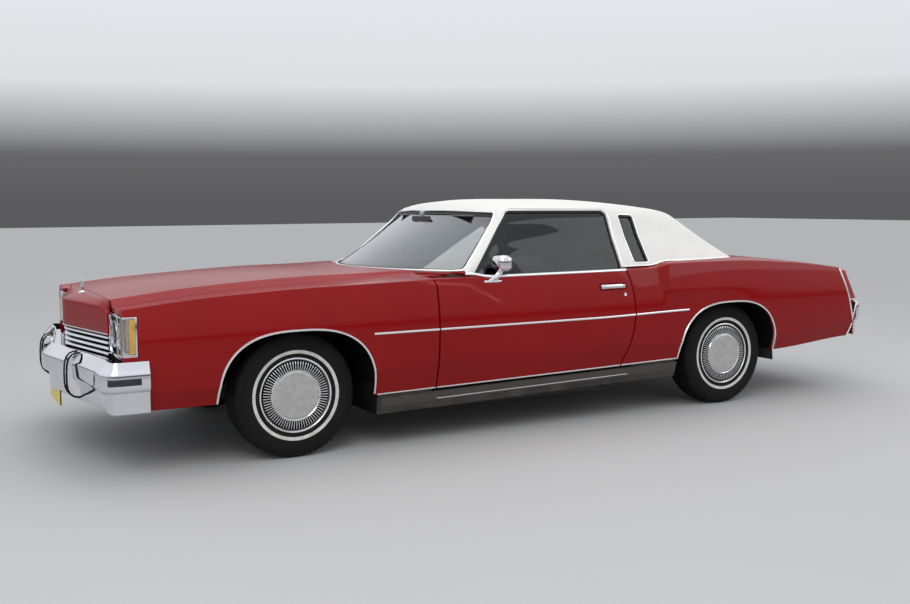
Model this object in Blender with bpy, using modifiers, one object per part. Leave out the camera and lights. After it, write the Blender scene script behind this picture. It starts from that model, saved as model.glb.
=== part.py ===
"""Full-size two-door luxury coupe of the early 1970s, as an assembly of separate panels and working parts.

Metres, +Z up. The nose points to -X, the left-hand side to -Y, and the tyres stand on z = 0.
Half-widths are written as positive numbers: side -1 is the left-hand side and side +1 the right.
"""

from math import cos, pi, radians, sin

import bmesh
import bpy
from mathutils import Matrix, Vector

# The furthest forward and rearward that the pointed bumpers reach
NOSE_X = -2.865
TAIL_X = 2.865

# Wheels and axles
WHEELBASE = 3.099
FRONT_AXLE_X = -1.700
REAR_AXLE_X = FRONT_AXLE_X + WHEELBASE
TYRE_RADIUS = 0.345
TYRE_PLANE_Y = 0.808
KINGPIN_Y = 0.690
HUB_FACE_Y = 0.7374
ARCH_TOP_Z = 2 * TYRE_RADIUS + 0.026
AXLE_FLOOR_Z = TYRE_RADIUS + 0.200
BOOT_FLOOR_Z = TYRE_RADIUS + 0.070

# Gaps
SEAT = 0.0004
DOOR_GAP = 0.009
LID_GAP = 0.008

# Body side
SKIN = 0.028
BOTTOM_Z = 0.345
WIDE_Z = 0.690
TUCK_IN = 0.048
DOOR_LIFT = 0.004
SILL_LEVEL_Z = 0.326
SILL_RISE = 0.018
DOOR_THICK = 0.085
FENDER_FRONT_X = -2.620
DOOR_FRONT_X = -0.866
DOOR_REAR_X = 0.550
DOOR_REAR_BOW = 0.734
DOOR_REAR_BOW_Z = 0.692
TAIL_TOP_X = 2.505
TAIL_LOW_X = 2.650
TAIL_TOP_Z = 0.900
TAIL_LOW_Z = 0.490
SEAM_Y = 0.800

# Door hinges: the axis is just inside the skin, and each strap ends well inboard of it.
HINGE_X = DOOR_FRONT_X + 0.0245
HINGE_Y = 1.001
HINGE_ZS = (0.430, 0.780)

# Nose
HOOD_FRONT_X = -2.600
HOOD_REAR_X = -1.010
HOOD_CORNER_X = -0.730
HOOD_SKIN = 0.030
DOME_HALF_WIDTH = 0.640
DOME_RISE = 0.030
HEADER_TIP_X = -2.745
HEADER_HALF_WIDTH = 0.620
HEADER_SWEEP = 0.130
GRILLE_TOP_Z = 0.700
GRILLE_BOTTOM_Z = 0.592
LAMP_FACE_X = -2.605
LAMP_YS = (0.690, 0.838)
LAMP_Z = 0.718
LAMP_RADIUS = 0.066

# Greenhouse
ROOF_SKIN = 0.040
PANE = 0.006
PANE_DEPTH = 0.014

# Tail
DECK_FRONT_X = 1.520
DECK_REAR_X = 2.520
DECK_SKIN = 0.030
TAIL_BOW = 0.080

# Under the body
FLOOR_Z = 0.235
FLOOR_THICK = 0.020
SILL_OUT_Y = 0.972
SILL_IN_Y = 0.880
SILL_BOTTOM_Z = 0.215
POST_Y = 0.845

# The body side at each station, in metres from the middle of the car.
SIDE_COLUMNS = ("x", "crest_z", "crest_y", "wide_y", "seam_z", "tuck_z")
SIDE_ROWS = (
    (-2.640, 0.860, 0.945, 0.984, 0.846, 0.462),
    (-2.200, 0.903, 0.957, 1.000, 0.893, 0.438),
    (-1.700, 0.929, 0.965, 1.008, 0.925, 0.446),
    (-1.200, 0.940, 0.967, 1.011, 0.943, 0.462),
    (-0.870, 0.946, 0.967, 1.011, 0.955, 0.472),
    (0.200, 0.950, 0.965, 1.011, 0.957, 0.475),
    (0.600, 0.953, 0.964, 1.008, 0.960, 0.470),
    (0.760, 0.962, 0.964, 1.007, 0.972, 0.468),
    (0.850, 0.990, 0.964, 1.007, 0.996, 0.465),
    (1.100, 0.998, 0.962, 1.006, 1.004, 0.458),
    (1.450, 0.999, 0.957, 1.003, 1.008, 0.452),
    (2.000, 0.964, 0.938, 0.985, 0.978, 0.458),
    (2.505, 0.900, 0.915, 0.957, 0.914, 0.483),
    (2.700, 0.872, 0.905, 0.945, 0.886, 0.495),
)

RED = ("body_red", (0.42, 0.012, 0.014), 0.22, 0.0)
WHITE = ("vinyl_white", (0.78, 0.76, 0.68), 0.55, 0.0)
CHROME = ("chrome", (0.80, 0.80, 0.82), 0.08, 1.0)
BLACK = ("underbody_black", (0.02, 0.02, 0.02), 0.8, 0.0)
RUBBER = ("tyre_rubber", (0.02, 0.02, 0.02), 0.85, 0.0)
GLASS = ("glass_tinted", (0.05, 0.07, 0.07), 0.05, 0.0)
TRIM = ("interior_black", (0.025, 0.024, 0.024), 0.6, 0.0)
LENS_RED = ("lens_red", (0.35, 0.01, 0.01), 0.15, 0.0)
STEEL = ("cast_steel", (0.16, 0.16, 0.16), 0.6, 0.6)
ENGINE = ("engine_blue", (0.05, 0.09, 0.14), 0.5, 0.1)


# Scene and material helpers


def clear_scene():
    for obj in list(bpy.data.objects):
        bpy.data.objects.remove(obj)


def new_collection(name):
    made = bpy.data.collections.new(name)
    bpy.context.scene.collection.children.link(made)
    return made


def finish_of(spec):
    """The material of one slot, made the first time that it is asked for."""
    name, colour, roughness, metallic = spec
    made = bpy.data.materials.get(name)
    if made is None:
        made = bpy.data.materials.new(name)
        made.use_nodes = True
        shader = made.node_tree.nodes["Principled BSDF"]
        shader.inputs["Base Color"].default_value = (*colour, 1.0)
        shader.inputs["Roughness"].default_value = roughness
        shader.inputs["Metallic"].default_value = metallic
    return made


def add_object(name, mesh, spec=None):
    obj = bpy.data.objects.new(name, mesh)
    (PARTS if spec else TOOLS).objects.link(obj)
    if spec:
        mesh.materials.append(finish_of(spec))
    else:
        obj.hide_render = True
        obj.display_type = "WIRE"
    return obj


def mesh_of(name, bm):
    bmesh.ops.recalc_face_normals(bm, faces=bm.faces)
    mesh = bpy.data.meshes.new(name)
    bm.to_mesh(mesh)
    bm.free()
    mesh.shade_smooth()
    mesh.set_sharp_from_angle(angle=radians(35))
    return mesh


def apply_modifiers(obj):
    """Replaces the object's mesh by its evaluated one, so that it can be cut or used as a cutter."""
    graph = bpy.context.evaluated_depsgraph_get()
    made = bpy.data.meshes.new_from_object(obj.evaluated_get(graph))
    obj.modifiers.clear()
    obj.data = made
    return obj


def cut(obj, *cutters, operation="DIFFERENCE"):
    for cutter in cutters:
        modifier = obj.modifiers.new("cut", "BOOLEAN")
        modifier.operation = operation
        modifier.object = cutter
        modifier.solver = "EXACT"
    return apply_modifiers(obj)


def join(obj, *others):
    """One solid from several that overlap."""
    cut(obj, *others, operation="UNION")
    for other in others:
        bpy.data.objects.remove(other)
    return obj


# Shape helpers


def box(name, low, high, spec=None, bevel=0.0, segments=1):
    """A block between two corners, with its edges rounded by a bevel."""
    bm = bmesh.new()
    size = Vector(high) - Vector(low)
    middle = (Vector(high) + Vector(low)) / 2
    bmesh.ops.create_cube(bm, size=1.0, matrix=Matrix.Translation(middle) @ Matrix.Diagonal((*size, 1.0)))
    obj = add_object(name, mesh_of(name, bm), spec)
    if bevel:
        modifier = obj.modifiers.new("edges", "BEVEL")
        modifier.width = bevel
        modifier.segments = segments
        apply_modifiers(obj)
    return obj


def rod(name, start, end, radius, spec=None, sides=16, end_radius=None):
    """A round bar or cone between two points."""
    start, end = Vector(start), Vector(end)
    along = end - start
    turn = along.to_track_quat("Z", "Y").to_matrix().to_4x4()
    bm = bmesh.new()
    bmesh.ops.create_cone(
        bm, cap_ends=True, segments=sides, depth=along.length, radius1=radius,
        radius2=radius if end_radius is None else end_radius,
        matrix=Matrix.Translation((start + end) / 2) @ turn,
    )
    return add_object(name, mesh_of(name, bm), spec)


def prism(name, outline, axis, low, high, spec=None):
    """An outline of two coordinates, extruded along the third axis from low to high."""
    others = [k for k in range(3) if k != "XYZ".index(axis)]
    bm = bmesh.new()
    rings = []
    for level in (low, high):
        ring = []
        for a, b in outline:
            point = [0.0, 0.0, 0.0]
            point[others[0]], point[others[1]], point["XYZ".index(axis)] = a, b, level
            ring.append(bm.verts.new(point))
        rings.append(ring)
    bridge(bm, rings, caps=True)
    return add_object(name, mesh_of(name, bm), spec)


def bridge(bm, rings, caps):
    """Faces between closed rings of equally many points, and over the two end rings."""
    for first, second in zip(rings, rings[1:]):
        for k in range(len(first)):
            after = (k + 1) % len(first)
            bm.faces.new((first[k], first[after], second[after], second[k]))
    if caps:
        bm.faces.new(rings[0])
        bm.faces.new(rings[-1])


def loft(name, rings, spec=None):
    """A solid through closed rings of equally many points."""
    bm = bmesh.new()
    bridge(bm, [[bm.verts.new(p) for p in ring] for ring in rings], caps=True)
    return add_object(name, mesh_of(name, bm), spec)


def turned(name, profile, centre, spec=None, steps=40, closed=False):
    """A profile of (radius, y) points turned round the line through the centre along Y."""
    bm = bmesh.new()
    points = [bm.verts.new((radius, y, 0.0)) for radius, y in profile]
    pairs = list(zip(points, points[1:])) + ([(points[-1], points[0])] if closed else [])
    for a, b in pairs:
        bm.edges.new((a, b))
    mesh = bpy.data.meshes.new(name)
    bm.to_mesh(mesh)
    bm.free()
    obj = add_object(name, mesh, spec)
    screw = obj.modifiers.new("turn", "SCREW")
    screw.axis = "Y"
    screw.steps = screw.render_steps = steps
    screw.use_merge_vertices = True
    screw.merge_threshold = 0.00005
    screw.use_smooth_shade = True
    apply_modifiers(obj)
    bm = bmesh.new()
    bm.from_mesh(obj.data)
    bmesh.ops.remove_doubles(bm, verts=bm.verts, dist=0.00005)
    bmesh.ops.recalc_face_normals(bm, faces=bm.faces)
    bm.to_mesh(obj.data)
    bm.free()
    obj.data.transform(Matrix.Translation(centre))
    obj.data.set_sharp_from_angle(angle=radians(35))
    return obj


def plate(name, outer, inner, spec=None):
    """A closed solid between two grids of points, the outer one and the inner one."""
    bm = bmesh.new()
    sheets = [[[bm.verts.new(p) for p in row] for row in rows] for rows in (outer, inner)]
    rims = []
    for grid in sheets:
        for first, second in zip(grid, grid[1:]):
            for k in range(len(first) - 1):
                bm.faces.new((first[k], first[k + 1], second[k + 1], second[k]))
        start, end = [row[0] for row in grid], [row[-1] for row in grid]
        rims.append(grid[0][:-1] + end[:-1] + grid[-1][:0:-1] + start[:0:-1])
    bridge(bm, rims, caps=False)
    return add_object(name, mesh_of(name, bm), spec)


def sunk(rows, depth):
    """The same grid moved in along its own normals. Rows run to the rear, and each row from left to right."""
    moved = []
    last, end = len(rows) - 1, len(rows[0]) - 1
    for i, row in enumerate(rows):
        line = []
        for k, point in enumerate(row):
            along = Vector(rows[min(i + 1, last)][k]) - Vector(rows[max(i - 1, 0)][k])
            across = Vector(row[min(k + 1, end)]) - Vector(row[max(k - 1, 0)])
            line.append(tuple(Vector(point) - along.cross(across).normalized() * depth))
        moved.append(line)
    return moved


def mirrored(rows):
    """The right-hand copy of a left-hand grid, turned so that it still looks out."""
    return [[(x, -y, z) for x, y, z in reversed(row)] for row in rows]


def spread(low, high, count):
    return [low + (high - low) * k / (count - 1) for k in range(count)]


def mix(a, b, t):
    return a + (b - a) * t


def ease(t):
    """0 before 0, 1 after 1, and a smooth step between."""
    t = min(max(t, 0.0), 1.0)
    return t * t * (3 - 2 * t)


def along_table(rows, column, x):
    """The column's value at x, on a smooth curve through the rows that never overshoots them."""
    xs = [row[0] for row in rows]
    values = [row[column] for row in rows]
    if x <= xs[0]:
        return values[0]
    if x >= xs[-1]:
        return values[-1]
    i = max(k for k in range(len(xs)) if xs[k] <= x)
    slopes = [(values[k + 1] - values[k]) / (xs[k + 1] - xs[k]) for k in range(len(xs) - 1)]

    def tangent(k):
        if k == 0 or k == len(xs) - 1:
            return slopes[min(k, len(slopes) - 1)]
        before, after = slopes[k - 1], slopes[k]
        return 0.0 if before * after <= 0 else 2 * before * after / (before + after)

    h = xs[i + 1] - xs[i]
    t = (x - xs[i]) / h
    return (
        values[i] * (1 + 2 * t) * (1 - t) ** 2 + tangent(i) * h * t * (1 - t) ** 2
        + values[i + 1] * t * t * (3 - 2 * t) + tangent(i + 1) * h * t * t * (t - 1)
    )


# Body surfaces


def side_value(column, x):
    return along_table(SIDE_ROWS, SIDE_COLUMNS.index(column), x)


def crease_z(x):
    """Height of the crease that runs on from the fender's peak and falls across the front of the door."""
    return 0.932 - 0.19 * ease((x + 0.62) / 0.50)


def hip_x(z):
    """The ridge where the quarter panel kicks out, leaning back a little down the side."""
    return 0.8225 - 0.0159 * (z - 0.724) / 0.254


def side_y(x, z):
    """Half-width of the body side: tucked in below, widest at the moulding, leaning in above it."""
    wide, crest = side_value("wide_y", x), side_value("crest_y", x)
    top, tuck = side_value("crest_z", x), side_value("tuck_z", x)
    if z < tuck:
        y = wide - 0.012 - (TUCK_IN - 0.012) * (tuck - z) / (tuck - BOTTOM_Z)
    elif z < WIDE_Z:
        y = wide - 0.012 * ((WIDE_Z - z) / (WIDE_Z - tuck)) ** 2
    else:
        y = mix(wide, crest, min(max((z - WIDE_Z) / (top - WIDE_Z), 0.0), 1.2) ** 1.5)
    shelf = 0.030 * ease((x + 1.0) / 0.12) * (1 - ease((x + 0.66) / 0.42))
    y -= shelf * ease((z - crease_z(x) + 0.004) / 0.030)
    hip = 0.016 * ease((x - hip_x(z)) / 0.018 + 0.5) * (1 - ease((x - 1.0) / 0.9))
    return y + hip * ease((z - 0.70) / 0.12)


def sill_z(x):
    """Height of the bright line along the sill, which rises a little to the rear."""
    return SILL_LEVEL_Z + SILL_RISE * x


def fender_bottom_z(x):
    return BOTTOM_Z + (sill_z(x) + DOOR_LIFT - BOTTOM_Z) * ease((x + 1.75) / 0.2)


def quarter_bottom_z(x):
    """The quarter panel's lower edge: on the sill before the wheel, and sweeping up behind it."""
    behind = BOTTOM_Z + 0.045 * ease((x - 1.80) / 0.85)
    return mix(sill_z(x) + DOOR_LIFT, behind, ease((x - 1.2) / 0.4))


def door_bottom_z(x):
    return sill_z(x) + DOOR_LIFT


def door_rear_x(z):
    return DOOR_REAR_X - DOOR_REAR_BOW * (z - DOOR_REAR_BOW_Z) ** 2


def tail_x(z):
    """The quarter panel's trailing edge: leaning back down to its lowest lamp, then cut under."""
    if z > TAIL_LOW_Z:
        return mix(TAIL_TOP_X, TAIL_LOW_X, (TAIL_TOP_Z - z) / (TAIL_TOP_Z - TAIL_LOW_Z))
    return mix(TAIL_LOW_X, TAIL_LOW_X - 0.055, (TAIL_LOW_Z - z) / (TAIL_LOW_Z - BOTTOM_Z))


def side_grid(front_x, rear_x, bottom_z, xs, heights, top_shares=()):
    """Points of the left-hand body side: rows from front to rear, each from the bottom edge up to the crest.
    The heights are shares of that; top_shares run on from the crest to the lid's seam."""
    rows = []
    for share in xs:
        row = []
        for height in heights:
            x = mix(front_x(BOTTOM_Z), rear_x(BOTTOM_Z), share)
            for _ in range(5):
                z = mix(bottom_z(x), side_value("crest_z", x), height)
                x = mix(front_x(z), rear_x(z), share)
            row.append((x, -side_y(x, z), z))
        x, y, z = row[-1]
        for share_in in top_shares:
            crown = 0.003 * sin(pi * share_in)
            seam = -(SEAM_Y + LID_GAP / 2)
            row.append((x, mix(y, seam, share_in), mix(z, side_value("seam_z", x), share_in) + crown))
        rows.append(row)
    return rows


def inner_side(rows, thickness, sides, flat_top=False):
    """The inner face of a left-hand side grid, whose first points, as many as sides says, are on the side."""
    inner = []
    for row in rows:
        line = []
        for k, (x, y, z) in enumerate(row):
            down = 0.0 if flat_top or k < sides - 1 else thickness
            across = thickness if k < sides else 0.0
            line.append((x, y + across, z - down))
        inner.append(line)
    return inner


def arch_outline(x_low, x_high, top_z, bottom_z, power=2.7, count=14):
    """A wheel opening: a flattened arch between two feet."""
    middle, half = (x_low + x_high) / 2, (x_high - x_low) / 2
    points = []
    for k in range(count + 1):
        angle = pi * k / count
        c, s = cos(angle), sin(angle)
        x = middle - half * (1 if c >= 0 else -1) * abs(c) ** (2 / power)
        points.append((x, bottom_z + (top_z - bottom_z) * s ** (2 / power)))
    return [(points[0][0], bottom_z - 0.3), *points, (points[-1][0], bottom_z - 0.3)]


FRONT_ARCH = arch_outline(FRONT_AXLE_X - 0.455, FRONT_AXLE_X + 0.415, ARCH_TOP_Z, 0.300)
REAR_ARCH = arch_outline(REAR_AXLE_X - 0.469, REAR_AXLE_X + 0.426, ARCH_TOP_Z, 0.300)


# The greenhouse, as rows from the windshield's foot to the tail of the sail panels.
HOUSE_COLUMNS = ("base_x", "base_y", "base_z", "rail_x", "rail_y", "rail_z", "mid_x", "mid_z")
HOUSE_ROWS = (
    (-0.660, 0.895, 0.890, -0.640, 0.868, 0.972, -1.000, 0.975),
    (-0.560, 0.900, 0.900, -0.545, 0.818, 1.068, -0.810, 1.090),
    (-0.460, 0.905, 0.905, -0.450, 0.768, 1.160, -0.640, 1.188),
    (-0.360, 0.905, 0.910, -0.352, 0.718, 1.250, -0.480, 1.282),
    (-0.270, 0.905, 0.910, -0.262, 0.674, 1.331, -0.345, 1.358),
    (-0.160, 0.905, 0.910, -0.150, 0.668, 1.343, -0.190, 1.376),
    (0.200, 0.905, 0.910, 0.200, 0.670, 1.349, 0.200, 1.385),
    (0.500, 0.915, 0.920, 0.520, 0.670, 1.347, 0.540, 1.383),
    (0.660, 0.928, 0.930, 0.760, 0.668, 1.344, 0.780, 1.378),
    (0.860, 0.928, 0.940, 0.960, 0.665, 1.338, 0.940, 1.370),
    (1.020, 0.924, 0.940, 1.090, 0.664, 1.318, 1.050, 1.350),
    (1.150, 0.916, 0.940, 1.170, 0.684, 1.250, 1.140, 1.290),
    (1.280, 0.902, 0.940, 1.280, 0.726, 1.165, 1.270, 1.200),
    (1.400, 0.884, 0.940, 1.390, 0.778, 1.085, 1.400, 1.110),
    (1.500, 0.866, 0.940, 1.492, 0.832, 1.020, 1.515, 1.022),
)
SIDE_SHARES = (0.0, 0.5, 1.0)
TOP_SHARES = (0.10, 0.32, 0.62, 1.0)
HOUSE_BULGE = 0.010

# Side openings as x and z, and end openings as y and z.
DOOR_WINDOW = (
    (-0.572, 0.9482), (-0.238, 1.316), (-0.215, 1.322), (0.482, 1.318), (0.503, 1.300), (0.511, 0.974),
    (0.488, 0.9526))
OPERA_WINDOW = (
    (0.640, 1.010), (0.598, 1.285), (0.612, 1.297), (0.708, 1.292), (0.722, 1.278), (0.765, 1.010))
WINDSHIELD = (
    (-0.818, 0.980), (-0.628, 1.295), (-0.600, 1.312), (0.600, 1.312), (0.628, 1.295), (0.818, 0.980))
BACKLIGHT = (
    (-0.735, 1.042), (-0.615, 1.235), (-0.585, 1.260), (0.585, 1.260), (0.615, 1.235), (0.735, 1.042))


def house_grid(rows=HOUSE_ROWS):
    """The outer face of the greenhouse: rows to the rear, each from the left base over to the right base."""
    grid = []
    for base_x, base_y, base_z, rail_x, rail_y, rail_z, mid_x, mid_z in rows:
        half = []
        for share in SIDE_SHARES:
            y = mix(base_y, rail_y, share) + HOUSE_BULGE * sin(pi * share)
            half.append((mix(base_x, rail_x, share), -y, mix(base_z, rail_z, share)))
        for share in TOP_SHARES:
            x = mix(rail_x, mid_x, 1 - (1 - share) ** 2)
            z = mix(rail_z, mid_z, 1 - (1 - share) ** 2.4)
            half.append((x, -rail_y * (1 - share), z))
        grid.append(half + [(x, -y, z) for x, y, z in reversed(half[:-1])])
    return grid


def grown(outline, amount):
    """The outline with each corner moved out from the outline's middle lines by the amount."""
    moved = []
    count = len(outline)
    for k, (a, b) in enumerate(outline):
        before, after = Vector(outline[k - 1]), Vector(outline[(k + 1) % count])
        here = Vector((a, b))
        first, second = (here - before).normalized(), (after - here).normalized()
        normal = Vector((-(first + second).y, (first + second).x)).normalized()
        scale = amount / max((1 + first.dot(second)) / 2, 0.3) ** 0.5
        moved.append(tuple(here + normal * scale))
    return moved


def pane(name, outline, axis, low, high, cutters=()):
    """A glass pane: the greenhouse's own face, sunk a little, within an outline."""
    glass = plate(name, sunk(house_grid(), PANE_DEPTH), sunk(house_grid(), PANE_DEPTH + PANE), GLASS)
    frame = prism(name + "_outline", outline, axis, low, high)
    return cut(glass, frame, *cutters, operation="INTERSECT")


def make_greenhouse():
    roof = plate("roof", house_grid(), sunk(house_grid(), ROOF_SKIN), WHITE)
    trim = prism("belt_cut", (
        (-2.0, 0.5), (2.0, 0.5), (2.0, 1.0135), (0.820, 1.0135), (0.745, 0.982), (0.52, 0.982), (0.30, 0.958),
        (-2.0, 0.958),
    ), "Y", -1.2, 1.2)
    cut(roof, trim)
    for side, label in ((-1, "left"), (1, "right")):
        low, high = sorted((side * 1.1, side * 0.60))
        opening = grown(DOOR_WINDOW, DOOR_GAP)
        opening = [(opening[0][0] - 0.075, 0.88), *opening[:-1], (opening[-2][0], 0.88)]
        cut(roof, prism("door_opening", opening, "Y", low, high))
        cut(roof, prism("opera_opening", OPERA_WINDOW, "Y", low, high))
    cut(roof, prism("windshield_opening", WINDSHIELD, "X", -1.4, -0.05))
    cut(roof, prism("backlight_opening", BACKLIGHT, "X", 0.98, 1.7))
    pane("windshield", grown(WINDSHIELD, -SEAT * 2), "X", -1.4, -0.05)
    pane("backlight", grown(BACKLIGHT, -SEAT * 2), "X", 0.98, 1.7)
    for side, label in ((-1, "left"), (1, "right")):
        low, high = sorted((side * 1.1, side * 0.60))
        pane("quarter_window_" + label, grown(OPERA_WINDOW, -SEAT * 2), "Y", low, high)
        pane("door_glass_" + label, DOOR_WINDOW, "Y", low, high)


def straight(x):
    return lambda z: x


FENDER_XS = spread(0.0, 1.0, 10)
PANEL_HEIGHTS = (0.0, 0.22, 0.40, 0.57, 0.74, 0.88, 1.0)
QUARTER_XS = (0.0, 0.05, 0.10, 0.14, 0.1755, 0.1845, 0.21, 0.26, 0.32, 0.44, 0.58, 0.72, 0.86, 1.0)


def make_side_panels():
    arches = (prism("front_arch", FRONT_ARCH, "Y", -1.2, 1.2), prism("rear_arch", REAR_ARCH, "Y", -1.2, 1.2))
    lamp_notch = box("lamp_notch", (-2.8, -1.2, 0.635), (-2.556, 1.2, 0.8178))
    fender = side_grid(
        straight(FENDER_FRONT_X), straight(DOOR_FRONT_X - DOOR_GAP / 2), fender_bottom_z, FENDER_XS,
        PANEL_HEIGHTS, (0.5, 1.0))
    quarter = side_grid(
        straight(DOOR_REAR_X - 0.110), tail_x, quarter_bottom_z, QUARTER_XS, PANEL_HEIGHTS, (0.5, 1.0))
    doorway = [(DOOR_REAR_X - 0.3, 0.2)]
    doorway += [(door_rear_x(z) + DOOR_GAP / 2, z) for z in spread(0.30, 1.02, 13)]
    doorway = prism("doorway", doorway + [(DOOR_REAR_X - 0.3, 1.1)], "Y", -1.2, 1.2)
    door = side_grid(
        straight(DOOR_FRONT_X + DOOR_GAP / 2), lambda z: door_rear_x(z) - DOOR_GAP / 2, door_bottom_z,
        (0.0, 0.08, 0.17, 0.26, 0.36, 0.48, 0.62, 0.76, 0.88, 1.0), PANEL_HEIGHTS)
    sides = len(PANEL_HEIGHTS)
    pieces = (
        ("fender", fender, inner_side(fender, SKIN, sides), (arches[0], lamp_notch)),
        ("quarter", quarter, inner_side(quarter, SKIN * 1.6, sides), (arches[1], doorway)),
        ("door", door, inner_side(door, DOOR_THICK, sides, flat_top=True), ()),
    )
    for name, outer, inner, cutters in pieces:
        cut(plate(name + "_left", outer, inner, RED), *cutters)
        cut(plate(name + "_right", mirrored(outer), mirrored(inner), RED), *cutters)
    for side, label in ((-1, "left"), (1, "right")):
        door = bpy.data.objects["door_" + label]
        for z in HINGE_ZS:
            y = sorted((side * 0.80, side * (HINGE_Y - 0.028)))
            low = (DOOR_FRONT_X - 0.09, y[0], z - SEAT)
            high = (HINGE_X + 0.018, y[1], z + 0.025 + SEAT)
            cut(door, box("hinge_pocket", low, high))


def hood_rear_x(y):
    return mix(HOOD_REAR_X, HOOD_CORNER_X, abs(y / SEAM_Y) ** 2.2)


def hood_z(x, y):
    """Height of the hood: it meets the fenders' seam, and a long raised plateau runs along its middle."""
    crown = 0.012 * (1 - (y / SEAM_Y) ** 2)
    dome = DOME_RISE * (1 - ease((abs(y) - DOME_HALF_WIDTH + 0.05) / 0.07))
    return side_value("seam_z", x) + crown + dome * (1 - 0.95 * ease((x + 1.55) / 0.55))


def make_hood():
    edge = SEAM_Y - LID_GAP / 2
    ys = [k * edge for k in (-1, -0.91, -0.83, -0.78, -0.74, -0.40, 0, 0.40, 0.74, 0.78, 0.83, 0.91, 1)]
    outer = []
    for share in spread(0.0, 1.0, 9):
        row = []
        for y in ys:
            x = mix(HOOD_FRONT_X, hood_rear_x(y), share)
            row.append((x, y, hood_z(x, y)))
        outer.append(row)
    inner = [[(x, y, z - HOOD_SKIN) for x, y, z in row] for row in outer]
    plate("hood", outer, inner, RED)


def tail_bow(y):
    """How far the tail stands further back at y than at its corners."""
    return TAIL_BOW * (1 - (y / SEAM_Y) ** 2)


def deck_z(x, y):
    return side_value("seam_z", x) + 0.016 * (1 - (y / SEAM_Y) ** 2)


def make_tail():
    edge = SEAM_Y - LID_GAP / 2
    ys = [k * edge for k in (-1, -0.7, -0.35, 0, 0.35, 0.7, 1)]
    outer = []
    for share in spread(0.0, 1.0, 6):
        row = []
        for y in ys:
            x = mix(DECK_FRONT_X + LID_GAP, DECK_REAR_X + tail_bow(y), share)
            row.append((x, y, deck_z(x, y)))
        outer.append(row)
    inner = [[(x, y, z - DECK_SKIN) for x, y, z in row] for row in outer]
    plate("trunk_lid", outer, inner, RED)
    profile = ((2.528, 0.875), (2.640, 0.520), (2.600, 0.400), (2.560, 0.400), (2.598, 0.520), (2.488, 0.875))
    rings = []
    for y in spread(-0.790, 0.790, 9):
        back = tail_bow(y) - tail_bow(0.790)
        rings.append([(x + back, y, z) for x, z in profile])
    loft("rear_panel", rings, RED)
    body = ((2.545, 0.835), (2.668, 0.480), (2.560, 0.480), (2.480, 0.835))
    lens = ((2.578, 0.878), (2.705, 0.657), (2.602, 0.657), (2.523, 0.878))
    for side, label in ((-1, "left"), (1, "right")):
        lamp = prism("tail_lamp_" + label, lens, "Y", *sorted((side * 0.7904, side * 0.915)), LENS_RED)
        join(lamp, prism("lamp_body", body, "Y", *sorted((side * 0.7908, side * 0.862))))


def bumper(name, path, section, spec):
    """A bar swept along a path of (x, y, depth) in plan. The section's points are a share of the depth, the
    distance out and the height."""
    rings = []
    for k, (x, y, depth) in enumerate(path):
        before, after = Vector(path[max(k - 1, 0)][:2]), Vector(path[min(k + 1, len(path) - 1)][:2])
        along = (after - before).normalized()
        out = Vector((-along.y, along.x))
        rings.append([
            (x + out.x * (d - share * depth), y + out.y * (d - share * depth), z) for share, d, z in section])
    return loft(name, rings, spec)


def both_halves(half):
    """A path of (x, y, depth) for the whole width, from its right-hand half."""
    return [(x, -y, depth) for x, y, depth in half] + [(x, y, depth) for x, y, depth in reversed(half)]


FRONT_BUMPER_HALF = (
    (-2.497, 1.003, 0.014), (-2.600, 1.002, 0.014), (-2.676, 0.996, 0.018), (-2.706, 0.968, 0.040),
    (-2.726, 0.800, 0.050), (-2.747, 0.620, 0.050), (-2.780, 0.440, 0.050), (-2.816, 0.230, 0.050),
    (NOSE_X + 0.013, 0.030, 0.050))
FRONT_BUMPER_SECTION = (
    (1.0, 0.0, 0.607), (0.85, 0.0, 0.606), (0.0, 0.006, 0.556), (0.0, 0.012, 0.545), (0.0, 0.012, 0.478),
    (0.0, 0.004, 0.462), (0.3, 0.0, 0.455), (0.5, 0.0, 0.438), (0.5, 0.0, 0.368), (0.65, 0.0, 0.348),
    (1.0, 0.0, 0.348))
REAR_BUMPER_HALF = (
    (2.668, 0.962, 0.020), (2.706, 0.955, 0.030), (2.738, 0.915, 0.045), (2.768, 0.760, 0.050),
    (2.796, 0.560, 0.050), (2.822, 0.360, 0.050), (2.843, 0.180, 0.050), (TAIL_X - 0.012, 0.030, 0.050))
REAR_BUMPER_SECTION = (
    (1.0, 0.0, 0.650), (0.0, -0.002, 0.648), (0.0, 0.010, 0.632), (0.0, 0.012, 0.540), (0.0, 0.004, 0.515),
    (0.4, 0.0, 0.500), (0.5, 0.0, 0.480), (0.5, 0.0, 0.410), (0.65, 0.0, 0.396), (1.0, 0.0, 0.396))


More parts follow.
